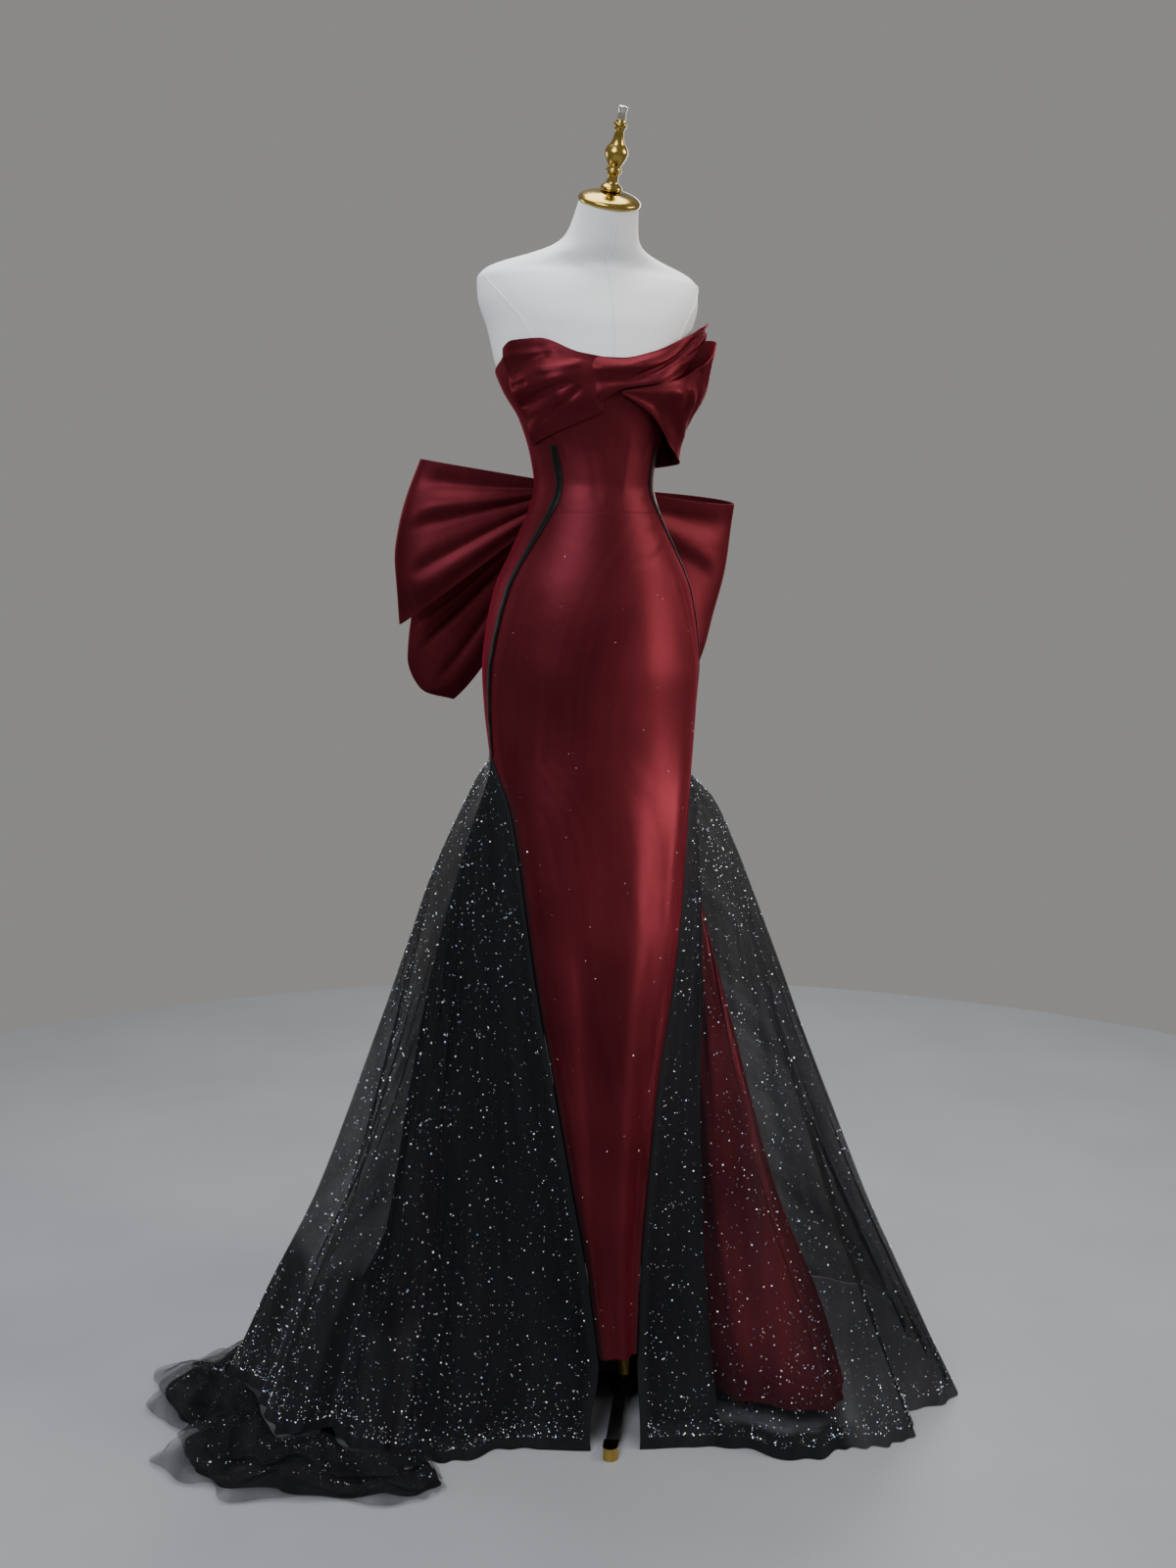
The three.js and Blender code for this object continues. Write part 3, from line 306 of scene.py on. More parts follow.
TRAIN_EDGE = [
    (-262, -212), (-300, -226), (-368, -204), (-440, -172), (-520, -136), (-566, -84), (-592, -20), (-560, 40),
    (-590, 104), (-584, 190), (-516, 236), (-452, 268), (-400, 284),
]
NET_SPREAD_LEFT = table("fall share", [
    (0, 0), (0.04, 0.14), (0.08, 0.235), (0.15, 0.305), (0.3, 0.42), (0.45, 0.525), (0.57, 0.615), (0.7, 0.718),
    (0.84, 0.845), (1, 1)])
NET_SPREAD_RIGHT = table("fall share", [
    (0, 0), (0.03, 0.1), (0.08, 0.175), (0.2, 0.305), (0.3, 0.375), (0.44, 0.465), (0.68, 0.65), (0.84, 0.825),
    (0.95, 0.935), (1, 1)])
INNER_SPREAD = table("fall share", [
    (0, 0), (0.06, 0.11), (0.17, 0.24), (0.33, 0.37), (0.57, 0.475), (0.77, 0.57), (0.84, 0.66), (0.92, 0.84),
    (1, 1)])
SATIN_SPREAD = table("fall share", [(0, 0), (0.3, 0.27), (0.53, 0.47), (0.7, 0.64), (0.86, 0.86), (1, 1)])
EDGE_GAP, EDGE_HOLD, NET_SWAY = 1.2, 0.16, 15.0


def outline(rows):
    """A curve through plan points at equal steps: between two points the cubic that leaves and reaches them
    along half the way between their own neighbours."""
    p = np.array(rows, float)
    p = np.concatenate([[2 * p[0] - p[1]], p, [2 * p[-1] - p[-2]]])
    last = len(rows) - 1

    def value(s):
        place = np.clip(s, 0, 1) * last
        i = np.clip(np.floor(place).astype(int), 0, last - 1)
        t = (place - i)[..., None]
        a, b, c, d = p[i], p[i + 1], p[i + 2], p[i + 3]
        start, end = (c - a) / 2, (d - b) / 2
        return b + start * t + (3 * (c - b) - 2 * start - end) * t**2 + (2 * (b - c) + start + end) * t**3

    return value


def flared(sign, floor_rows, spread_rows, inward, sway, ripple=0.0):
    """A flared layer over s, the share round from the front panel to centre back, and fall, the share of the
    drop to the floor. Straight lines from the hip outline to the floor outline, spread by the table, the front
    edge held to the front panel, then gathers: sines round the body that deepen with the fall, with small
    ripples of their own. An inner layer lies a set distance inward along its normal in plan."""
    floor, spread = outline(floor_rows), column(spread_rows, "fall", "share")

    def ruled(s, fall):
        hip = skin(sign * mix(SIDE_ANGLE + 0.3, 179.88, s), FLARE_Z, GOWN_OFFSET)
        end = floor(s)
        share = spread(fall)
        x, y = mix(hip[..., 0], end[..., 0], share), mix(hip[..., 1], end[..., 1], share)
        return points(x, y, FLARE_Z * (1 - fall))

    hem_fall = 1 - PANEL_HEM_Z / FLARE_Z

    def surface(s, fall):
        tangent = floor(s + 0.01) - floor(s - 0.01)
        tangent = tangent / lengths(tangent)
        low = np.minimum(fall, hem_fall)
        held = tongue(sign, FLARE_Z * (1 - low)) + np.array([sign * EDGE_GAP, 0, 0])
        free = np.where(fall > hem_fall, 1 - smooth((fall - hem_fall) / (1 - hem_fall)), 1)
        edge = (held - ruled(np.zeros_like(s), low)) * free[..., None] * np.array([1, 1, 0])
        hold = np.exp(-((s / EDGE_HOLD) ** 2))
        back = 1 - smooth((s - 0.93) / 0.07)
        uneven = s + 0.02 * np.sin(np.radians(360 * 2.3 * s + 40))
        gather = wave(6.5 * uneven + 30 / 360) + 0.35 * wave(11 * uneven + 70 / 360)
        fine = wave(23 * uneven + 1.3 * fall) + 0.7 * wave(37 * uneven - 0.8 * fall + 0.2)
        low_hem = smooth((fall - 0.9) / 0.1) * wave(31 * uneven + 0.3 * wave(3 * s)) * 1.6
        ripples = ripple * (fine * smooth(fall * 2) + low_hem)
        depth = (sway * gather * smooth(fall * 1.15) + ripples) * (1 - hold) * back
        moved = ruled(s, fall) + edge * hold[..., None]
        moved[..., 0] += sign * tangent[..., 1] * depth
        moved[..., 1] -= sign * tangent[..., 0] * depth
        return moved

    def at(s, fall):
        s, fall = np.broadcast_arrays(np.asarray(s, float), np.asarray(fall, float))
        tangent = surface(np.minimum(1, s + 0.01), fall) - surface(np.maximum(0, s - 0.01), fall)
        tangent = tangent / lengths(tangent)
        normal = points(sign * tangent[..., 1], -sign * tangent[..., 0], 0.0)
        return surface(s, fall) - normal * inward

    return at


# ---- Bust ----
# Folds pressed into the bust pieces: start in mm round the body, height, end, half width, out, bow
DRAPE_CREASES = [
    (-136, 1372, -50, 1398, 3.2, -4.5, 3), (-130, 1360, -54, 1384, 6, 2.4, 3), (-128, 1388, -50, 1411, 7, 3.2, 4),
    (-120, 1412, -64, 1444, 8, -4.0, 2), (-116, 1440, -50, 1446, 6, 2.4, 2), (-104, 1350, -40, 1392, 4, -2.6, 5),
    (-100, 1336, -56, 1356, 6, 2.4, 3), (-124, 1398, -96, 1402, 4, -2.2, 0), (-78, 1416, -34, 1428, 5, 2.4, 2),
]
STRIP_CREASES = [
    (22, 1412, 96, 1470, 3.4, -7.5, 3), (30, 1404, 110, 1462, 6.0, 3.0, 3), (10, 1428, 100, 1484, 6.0, 3.2, 5),
    (-20, 1402, 34, 1410, 4.5, -2.4, 2), (-22, 1420, 20, 1424, 6.0, 2.0, 2), (70, 1440, 124, 1476, 3.6, -4.0, 2),
]
LOOP_CREASES = [
    (60, 1398, 124, 1330, 8, 3.4, 3), (40, 1384, 100, 1316, 5, -2.4, 3), (96, 1434, 140, 1330, 6, -4.0, 5),
    (120, 1466, 156, 1340, 8, 3.0, 6), (84, 1404, 104, 1372, 5, 2.4, 0), (150, 1420, 176, 1320, 6, -3.0, 3),
]
STRIP = table("angle top bottom stand", [
    (-14.2, 1437, 1368, 5), (2, 1436, 1392, 8), (22, 1448, 1402, 10), (42, 1470, 1419, 11), (60, 1489, 1446, 13),
    (76, 1503, 1472, 17),
])
LOOP = table("turn angle top bottom stand", [
    (0, 3, 1391, 1386, 6), (0.2, 24, 1401, 1362, 9), (0.4, 46, 1419, 1334, 16), (0.58, 62, 1441, 1305, 30),
    (0.74, 78, 1476, 1298, 35), (0.86, 91, 1482, 1296, 27), (1, 103, 1462, 1292, 2),
])
DRAPE_FIRST, DRAPE_LAST, DRAPE_BOTTOM, DRAPE_STAND, DRAPE_FOLDS = -70.0, -15.0, 1320.0, 3.2, 4.5
DRAPE_TUCK = 7.0  # degrees that the drape runs on under the strip
strip_top, strip_bottom, strip_stand = columns(STRIP, "angle", "top bottom stand")
loop_angle, loop_top, loop_bottom, loop_stand = columns(LOOP, "turn", "angle top bottom stand")


def bust_drape(u, v):
    """The gathered panel over the right cup: the skin with slanting sine folds, deepest in the middle, and the
    pressed creases, flat at its top and bottom."""
    angle = mix(DRAPE_FIRST + mix(-9, 0, v) * (1 - u), DRAPE_LAST + DRAPE_TUCK, u)
    low = DRAPE_BOTTOM + 44 * u * u + 8 * np.sin(np.pi * u)
    z = mix(low, top_edge(np.abs(angle)) + 5, v)
    gather = 0.35 + 0.65 * np.sin(np.pi * np.minimum(1, 0.2 + 0.9 * u))
    edge = np.minimum(1, v * 5) * np.minimum(1, (1 - v) * 7)
    fold = (wave(2.1 * v - 0.55 * u + 0.15) + 1) * DRAPE_FOLDS * gather * edge * 0.6
    pressed = creases(angle * MM_PER_DEGREE, z, DRAPE_CREASES) * smooth(edge)
    tuck = smooth((1 - u) * 9)
    return skin(angle, z, GOWN_OFFSET + 1.6 + tuck * (DRAPE_STAND - 1.6 + np.maximum(fold + pressed, -1.0)))


def bust_strip(u, v):
    """The rolled strip up to the left: the skin with an arched section, a slanting sine and its deep fold."""
    angle = mix(STRIP["angle"][0], STRIP["angle"][-1], u)
    z = mix(strip_bottom(angle), strip_top(angle), v)
    roll = 5 * np.sin(np.pi * v) + 2.2 * wave(1.5 * v + 0.8 * u)
    pressed = creases(angle * MM_PER_DEGREE, z, STRIP_CREASES)
    end = bell(u, 0.035) * 2.4
    return skin(angle, z, GOWN_OFFSET + strip_stand(angle) + np.maximum(roll - 3 + pressed, -3.5) - end)


def bust_loop(u, v):
    """The hanging loop: the skin carried out by the table's stand, with a slanting sine and its own folds."""
    z = mix(loop_bottom(u), loop_top(u) - 0.6, v)
    angle = loop_angle(u)
    ends = np.sin(np.pi * np.minimum(1, u * 1.05))
    fold = 2.4 * wave(1.6 * v + 0.7 * u) * ends
    pressed = creases(angle * MM_PER_DEGREE, z, LOOP_CREASES) * ends
    return skin(angle, z, GOWN_OFFSET + loop_stand(u) + np.maximum(fold + pressed, -4.0))


# ---- Back bow ----
KNOT_Y, KNOT_Z, KNOT_HALF_WIDTH, KNOT_HALF_DEPTH, KNOT_HALF_HEIGHT = 90.8, 1245.0, 27.0, 25.0, 36.0
BOW_LOOPS = {
    "bow_loop_upper_right": dict(
        sign=-1, ends=[(0, 248, 1068), (0.4, 255, 1163), (0.6, 250, 1210), (1, 218, 1308)], y=132, away=1,
        half_depth=17, swell=20, low=-8, high=30, front=-4, pleat=6, gap=0.4, sag=0, crease=5.0),
    "bow_loop_upper_left": dict(
        sign=1, ends=[(0, 205, 968), (0.4, 240, 1066), (0.8, 270, 1190), (1, 278, 1250)], y=132, away=1,
        half_depth=17, swell=20, low=-8, high=26, front=-11, pleat=6, gap=0.4, sag=0, crease=3.4),
    "bow_loop_lower_right": dict(
        sign=-1, ends=[(0, 152, 952), (0.3, 198, 966), (0.6, 222, 1016), (1, 216, 1080)], y=200, away=0.4,
        half_depth=12, swell=12, low=-33, high=-16, front=0, pleat=3, gap=1.9, sag=36, crease=3.6),
    "bow_loop_lower_left": dict(
        sign=1, ends=[(0, 128, 966), (0.3, 160, 984), (0.6, 184, 1030), (1, 182, 1066)], y=222, away=0.24,
        half_depth=10, swell=10, low=-33, high=-20, front=0, pleat=0, gap=1.9, sag=0, crease=3.0),
}
# Folds that fan out from the knot: share of the height at the knot and at the far end, half width, out
BOW_FANS = [
    (0.78, 0.88, 0.05, -1.0), (0.66, 0.72, 0.06, 1.0), (0.55, 0.60, 0.04, -0.9), (0.44, 0.40, 0.07, 0.9),
    (0.34, 0.26, 0.04, -0.8), (0.22, 0.10, 0.06, 0.8),
]


def bow_loop(sign, ends, y, away, half_depth, swell, low, high, front, pleat, gap, sag, crease):
    """One loop of the bow: over u it leaves the knot, turns at its far end and comes back behind itself, as a
    half turn of sine and cosine; over v it widens from the knot to the table of far ends. Folds fan out from
    the knot and die away where the band turns, and the lower edge may sag in between."""
    rows = table("v reach z", ends)
    end_reach, end_z = columns(rows, "v", "reach z")

    def at(u, v):
        turn = np.pi * np.clip(u, 0, 1)
        reach = np.maximum(np.sin(turn), 0) ** 0.75
        start = KNOT_Z + mix(low, high, v)
        z = mix(start, end_z(v), reach) + front * reach * np.cos(turn) * smooth(v * 3 - 2)
        z = z - sag * np.sin(np.pi * reach) * (1 - v) ** 2
        x = sign * mix(KNOT_HALF_WIDTH + gap, end_reach(v), reach)
        folds = pleat * wave(2.4 * v + 0.2) * np.sin(turn) * (1 - 0.6 * reach)
        for near, far, width, out in BOW_FANS:
            line = mix(near, far, reach)
            spread = width * mix(0.8, 1.6, reach)
            fade = np.sin(turn) ** 0.6 * smooth((1 - reach) * 5)
            folds = folds - crease * out * bell(v - line, spread) * fade
        middle = mix(KNOT_Y + 4, y, reach**away)
        return points(x, middle - np.cos(turn) * (half_depth + swell * np.sin(turn)) + folds, z)

    return at


# ---- Meshes ----
def put(name, vertices, curved, flat, uv=None):
    """A mesh object from points in millimetres round the gown's axis, with its smooth faces and then its flat
    ones; uv is one pair for each vertex."""
    mesh = bpy.data.meshes.new(name)
    mesh.from_pydata((vertices / 1000 + AXIS).tolist(), [], curved.tolist() + flat.tolist())
    mesh.polygons.foreach_set("use_smooth", np.arange(len(mesh.polygons)) < len(curved))
    if uv is not None:
        loops = np.empty(len(mesh.loops), np.int32)
        mesh.loops.foreach_get("vertex_index", loops)
        layer = mesh.uv_layers.new(name="cloth")
        layer.data.foreach_set("uv", uv[loops].astype(np.float32).ravel())
    mesh.update()
    return link(name, mesh)


def link(name, data):
    """An object of the data, in the scene."""
    item = bpy.data.objects.new(name, data)
    bpy.context.scene.collection.objects.link(item)
    return item


def mark(item, label, values):
    """Gives each vertex of a piece a value that its material reads."""
    attribute = item.data.attributes.new(label, "FLOAT", "POINT")
    attribute.data.foreach_set("value", values.astype(np.float32))


def closed_body(name, outer, inner, side, uv):
    """A closed body between two grids of points: both grids, and a rim round their border."""
    rows, across = outer.shape[0] - 1, outer.shape[1] - 1
    width = across + 1
    first = (np.arange(rows)[:, None] * width + np.arange(across)).ravel()
    back = width * (rows + 1)
    quads = np.stack([first, first + 1, first + width + 1, first + width], 1)
    border = np.concatenate([
        np.arange(width), np.arange(1, rows + 1) * width + across,
        rows * width + np.arange(across - 1, -1, -1), np.arange(rows - 1, 0, -1) * width])
    after = np.roll(border, -1)
    rim = np.stack([border, border + back, after + back, after], 1)
    if side < 0:
        quads, rim = quads[:, ::-1], rim[:, ::-1]
    vertices = np.concatenate([outer.reshape(-1, 3), inner.reshape(-1, 3)])
    uv = np.concatenate([uv.reshape(-1, 2)] * 2)
    return put(name, vertices, np.concatenate([quads, quads[:, ::-1] + back]), rim, uv)


def steps(count, edge):
    """Even steps from 0 to 1, with a narrow step at each end that keeps the hem crisp."""
    near = np.array([0, edge * 0.35, edge])
    return np.concatenate([near, np.linspace(0, 1, count + 1)[1:-1], 1 - near[::-1]])


def cloth(name, at, grid, thickness, side=1, edge=0.003, spans=(0, 1)):
    """A wall of cloth over a grid of so many columns and rows: its outer face is at(u, v), and its inner face
    lies one thickness behind it along the normal, the cross product of the two directions along it."""
    u, v = np.meshgrid(mix(*spans, steps(grid[0], edge)), steps(grid[1], edge))
    outer = at(u, v)
    across = at(np.minimum(1, u + STEP), v) - at(np.maximum(0, u - STEP), v)
    along = at(u, np.minimum(1, v + STEP)) - at(u, np.maximum(0, v - STEP))
    normal = np.cross(across, along)
    inner = outer - side * normal / lengths(normal) * thickness
    ways = np.zeros(u.shape + (2,))
    over, up = lengths(np.diff(outer, axis=1))[..., 0], lengths(np.diff(outer, axis=0))[..., 0]
    ways[:, 1:, 0] = np.cumsum(over, axis=1)
    ways[1:, :, 1] = np.cumsum(up, axis=0)
    return closed_body(name, outer, inner, side, ways / 1000)


def rings_body(name, rings):
    """A closed body through stacked rings of points, with a fan to the middle of each end ring."""
    count, turns = rings.shape[:2]
    i, j = np.meshgrid(np.arange(turns), np.arange(count - 1))
    a, b = (j * turns + i).ravel(), (j * turns + (i + 1) % turns).ravel()
    walls = np.stack([a, b, b + turns, a + turns], 1)
    low, high = count * turns, count * turns + 1
    around = np.arange(turns)
    after = (around + 1) % turns
    top = (count - 1) * turns
    fans = np.concatenate([
        np.stack([np.full(turns, low), after, around], 1),
        np.stack([np.full(turns, high), top + around, top + after], 1)])
    vertices = np.concatenate([rings.reshape(-1, 3), [rings[0].mean(0)], [rings[-1].mean(0)]])
    return put(name, vertices, walls, fans)


def finish_piece(item, material, slot, *nodes):
    """Gives a piece its material and its body, and hides the frame's solids that it stands for; the slot is not
    used.
    """
    item.data.materials.append(material)
    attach(item, "root")
    if nodes:
        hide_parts(*nodes)
    return item


def wine_piece(name, at, grid, node, held, rests_on, finish="wine_satin", **settings):
    """A piece of wine satin, cut and finished."""
    thick = bpy.context.scene.gown_sizes.satin * 1000
    piece = finish_piece(cloth(name, at, grid, thick, **settings), palette(finish), "wine_satin", node)
    return piece


# ---- Materials ----
def linear(code):
    """The linear colour of an sRGB hex value: the power curve above 0.04045, a straight line below it."""
    srgb = np.array([int(code[i : i + 2], 16) for i in (0, 2, 4)]) / 255
    return tuple(np.where(srgb > 0.04045, ((srgb + 0.055) / 1.055) ** 2.4, srgb / 12.92).tolist())


def node(tree, kind, inputs=None, **settings):
    """Adds a node with its settings; an input that is a socket is linked, any other value is set."""
    made = tree.nodes.new(kind)
    for key, value in settings.items():
        setattr(made, key, value)
    for key, value in (inputs or {}).items():
        if isinstance(value, bpy.types.NodeSocket):
            tree.links.new(value, made.inputs[key])
        else:
            made.inputs[key].default_value = value
    return made


def ramp(tree, factor, low, high, low_at=0.3, high_at=0.7):
    """A colour that runs from low to high as the factor passes from low_at to high_at."""
    made = node(tree, "ShaderNodeValToRGB", {"Fac": factor})
    for stop, place, colour in zip(made.color_ramp.elements, (low_at, high_at), (low, high)):
        stop.position, stop.color = place, (*colour, 1)
    return made.outputs["Color"]


def amount(tree, factor, low, high, low_at=0.3, high_at=0.7):
    """A number that runs from low to high as the factor passes from low_at to high_at."""
    made = node(tree, "ShaderNodeMapRange", {0: factor, 1: low_at, 2: high_at, 3: low, 4: high})
    return made.outputs[0]


def begin(name):
    """A new material with a surface shader; gives the material, its tree, the shader and object coordinates."""
    made = bpy.data.materials.new(name)
    made.use_nodes = True
    tree = made.node_tree
    shader = tree.nodes["Principled BSDF"]
    coordinates = node(tree, "ShaderNodeTexCoord")
    return made, tree, shader, coordinates


def connect(tree, shader, **sockets):
    """Links or sets the shader's sockets; an underscore in a name stands for a space."""
    for key, value in sockets.items():
        socket = shader.inputs[key.replace("_", " ")]
        if isinstance(value, bpy.types.NodeSocket):
            tree.links.new(value, socket)
        else:
            socket.default_value = value


def noise(tree, vector, scale, detail):
    """The factor of a soft noise over a vector."""
    made = node(tree, "ShaderNodeTexNoise", {"Vector": vector, "Scale": scale, "Detail": detail})
    return made.outputs["Fac"]


def bump(tree, height, strength, distance, normal=None):
    """The normal of a bump by a height, over another bump's normal if there is one."""
    inputs = {"Height": height, "Strength": strength, "Distance": distance}
    if normal is not None:
        inputs["Normal"] = normal
    return node(tree, "ShaderNodeBump", inputs).outputs[0]


RIB_DEPTH = 0.0004  # metres that a thread or a turning mark stands out


def threads(tree, coordinates, pitch_mm, strength):
    """Fine ribs of the weave across the cloth's own map, as a bump; pitch is the drawn distance of two ribs."""
    per_metre = 1000 / pitch_mm / 20  # a wave texture's scale of 1 has about 20 bands in a metre
    ribs = node(tree, "ShaderNodeTexWave", {
        "Vector": coordinates.outputs["UV"], "Scale": per_metre * 6.4, "Distortion": 1.5, "Detail": 2.0,
        "Detail Scale": 2.0}, bands_direction="X")
    return bump(tree, ribs.outputs["Fac"], strength, RIB_DEPTH)


SATIN_IOR = 1.22  # low, because the floats scatter most of the mirror light


def satin(name, deep, mid, sheen, gloss, sheen_weight, roughness, tinted=0.0):
    """Duchesse satin, polyester, warp-faced: smooth floats give a soft gloss in the cloth's own colour, so a
    share of it reflects as tinted as a metal does. Painted shade: where the veil attribute says, the satin is
    painted dark towards the net's colour and loses its gloss and sheen. This stands for the net's edge lying
    over it and the shade where the panel turns away."""
    made, tree, shader, coordinates = begin(name)
    streak_map = node(tree, "ShaderNodeMapping", {"Vector": coordinates.outputs["UV"], "Scale": (90.0, 4.0, 1.0)})
    streaks = noise(tree, streak_map.outputs[0], 1.0, 3.0)
    cloudy = noise(tree, coordinates.outputs["Object"], 5.0, 2.0)
    both = node(tree, "ShaderNodeMath", {0: streaks, 1: 0.2, 2: cloudy}, operation="MULTIPLY_ADD")
    # satin threads lie 0.1 mm apart; they are drawn at 1.2 mm so that a close view shows them
    weave = threads(tree, coordinates, 1.2, 0.1)
    puckers = noise(tree, coordinates.outputs["Object"], 26.0, 3.0)
    # painted shade: the veil attribute darkens the colour towards the net's and takes away gloss and sheen, for
    # the net over the panel's edges and the shade where the panel turns away
    painted_veil_shade = node(tree, "ShaderNodeAttribute", attribute_name="painted_veil_shade")
    veil_shade = node(tree, "ShaderNodeMix", {
        0: painted_veil_shade.outputs["Fac"], 6: ramp(tree, both.outputs[0], deep, mid, 0.4, 0.8), 7: (*linear("19191a"), 1)},
        data_type="RGBA")
    bare = node(tree, "ShaderNodeMath", {0: 1.0, 1: painted_veil_shade.outputs["Fac"]}, operation="SUBTRACT")
    connect(
        tree, shader, Base_Color=veil_shade.outputs[2], Metallic=amount(tree, bare.outputs[0], 0.0, tinted, 0.0, 1.0),
        Roughness=amount(tree, streaks, roughness - 0.02, roughness + 0.03), IOR=SATIN_IOR,
        Specular_Tint=(*gloss, 1), Sheen_Weight=amount(tree, bare.outputs[0], 0.0, sheen_weight, 0.0, 1.0),
        Sheen_Roughness=0.34, Sheen_Tint=(*sheen, 1), Normal=bump(tree, puckers, 0.22, 0.004, weave))
    return made


def net(name, colour, alpha_low, alpha_high, opaque=False):
    """Soft tulle, nylon, bobbin-woven: matt threads and open holes of 1.5 mm, too fine to draw, so the cloth is
    part see-through and thicker where its gathers bunch the threads."""
    made, tree, shader, coordinates = begin(name)
    stretch = node(tree, "ShaderNodeMapping", {"Vector": coordinates.outputs["UV"], "Scale": (22.0, 1.6, 1.0)})
    bunch = noise(tree, stretch.outputs[0], 1.0, 2.0)
    grain = noise(tree, coordinates.outputs["UV"], 420.0, 1.0)
    dark = tuple(c * 0.55 for c in colour)
    connect(
        tree, shader, Base_Color=ramp(tree, bunch, dark, colour, 0.35, 0.65), Roughness=0.72, IOR=1.2,
        Normal=bump(tree, grain, 0.25, 0.001))
    if not opaque:
        doubled = node(tree, "ShaderNodeAttribute", attribute_name="doubled")
        open_net = amount(tree, bunch, alpha_low, alpha_high, 0.3, 0.72)
        closed = node(
            tree, "ShaderNodeMath", {0: open_net, 1: doubled.outputs["Fac"]}, operation="ADD", use_clamp=True)
        connect(tree, shader, Alpha=closed.outputs[0])
    return made


def jersey(name, colour):
    """Cotton jersey over foam: matt, fine loops 0.8 mm apart drawn at 2 mm, faint soft blotches."""
    made, tree, shader, coordinates = begin(name)
    blotch = noise(tree, coordinates.outputs["Object"], 9.0, 3.0)
    loops = noise(tree, coordinates.outputs["Object"], 500.0, 1.0)
    shade = tuple(c * 0.93 for c in colour)
    connect(
        tree, shader, Base_Color=ramp(tree, blotch, shade, colour), Roughness=0.82, IOR=1.45,
        Sheen_Weight=0.12, Sheen_Roughness=0.5, Normal=bump(tree, loops, 0.15, 0.0006))
    return made


def metal(name, colour, roughness, metallic=1.0):
    """Turned or cast metal, polished or painted: tight gloss broken by faint handling smears and fine turning."""
    made, tree, shader, coordinates = begin(name)
    smear = noise(tree, coordinates.outputs["Object"], 40.0, 4.0)
    turning = node(tree, "ShaderNodeTexWave", {
        "Vector": coordinates.outputs["Object"], "Scale": 90.0, "Distortion": 0.6}, bands_direction="Z")
    dull = tuple(c * 0.82 for c in colour)
    connect(
        tree, shader, Base_Color=ramp(tree, smear, dull, colour, 0.35, 0.6), Metallic=metallic,
        Roughness=amount(tree, smear, roughness * 0.7, roughness * 1.4),
        Normal=bump(tree, turning.outputs["Fac"], 0.03, RIB_DEPTH))
    return made


def flakes(name):
    """Hologram glitter, cut foil: mirror-like flakes that throw back white, icy blue or a little rose, and glow by
    their own emission as a painted glint, strongly in a few.
    """
    made, tree, shader, _ = begin(name)
    tint = node(tree, "ShaderNodeAttribute", attribute_name="tint")
    painted_glint = node(tree, "ShaderNodeAttribute", attribute_name="painted_glint")
    colour = ramp(tree, tint.outputs["Fac"], linear("ffffff"), linear("a9c6ff"), 0.45, 0.9)
    connect(
        # painted glint: each flake glows in its own colour as strongly as its glint attribute says
        tree, shader, Base_Color=colour, Metallic=1.0, Roughness=0.18, Emission_Color=colour,
        Emission_Strength=painted_glint.outputs["Fac"])
    return made


MATERIALS = {}


def palette(name):
    """The named material, made from the colours in the panel the first time that a piece asks for it."""
    if name not in MATERIALS:
        c = bpy.context.scene.gown_colours
        wine, rose, gloss = tuple(c.wine), tuple(c.rose_sheen), linear("f08094")
        deep, lit = tuple(x * 0.5 for x in wine), tuple(min(1, x * 2.2) for x in wine)
        makers = {
            "wine_satin": lambda: satin(name, deep, wine, rose, gloss, 0.42, 0.42, 0.6),
            # the same satin painted about twice as light on the flares, with no darker tone: a painted highlight
            # for the lit folds that show through the net
            "wine_satin_painted_light": lambda: satin(name, wine, lit, rose, gloss, 0.5, 0.4, 0.45),
            "black_satin": lambda: satin(
                name, linear("070707"), tuple(c.ribbon), linear("8d8680"), linear("ffffff"), 0.3, 0.42),
            "black_net": lambda: net(name, tuple(c.net), 0.16, 0.34),
            "black_net_lining": lambda: net(name, tuple(c.lining), 1, 1, opaque=True),
            "form_cover": lambda: jersey(name, tuple(c.cover)),
            "brass": lambda: metal(name, tuple(c.brass), 0.16),
            "silvered_tip": lambda: metal(name, linear("d9d4c8"), 0.12),
            "black_metal": lambda: metal(name, linear("101011"), 0.42, 0.3),
            "glitter": lambda: flakes(name),
        }
        MATERIALS[name] = makers[name]()
    return MATERIALS[name]


# ---- What a user may change ----
def length_property(name, text, default):
    """A length in metres for the panel."""
    return bpy.props.FloatProperty(name=name, description=text, default=default, min=0, unit="LENGTH", precision=4)


def colour_property(name, text, code):
    """A colour for the panel, from an sRGB hex value."""
    return bpy.props.FloatVectorProperty(
        name=name, description=text, default=linear(code), min=0, max=1, size=3, subtype="COLOR")


class GownSizes(bpy.types.PropertyGroup):
    """Sizes of the cloth and trim."""

    satin: length_property("Satin thickness", "Thickness of the satin with its backing", 0.0015)
    net: length_property("Net thickness", "Thickness of the net with its gathers", 0.001)
    ribbon_width: length_property("Ribbon width", "Width of the black ribbon on the princess seams", 0.011)
    net_ripple: length_property("Net ripples", "Depth of the net's small ripples", 0.0022)
    glitter_size: length_property("Glitter size", "Half width of the largest glitter flakes", 0.001)
    glitter_count: bpy.props.IntProperty(
        name="Glitter flakes", description="Glitter flakes on each half of the net", default=5600, min=0)


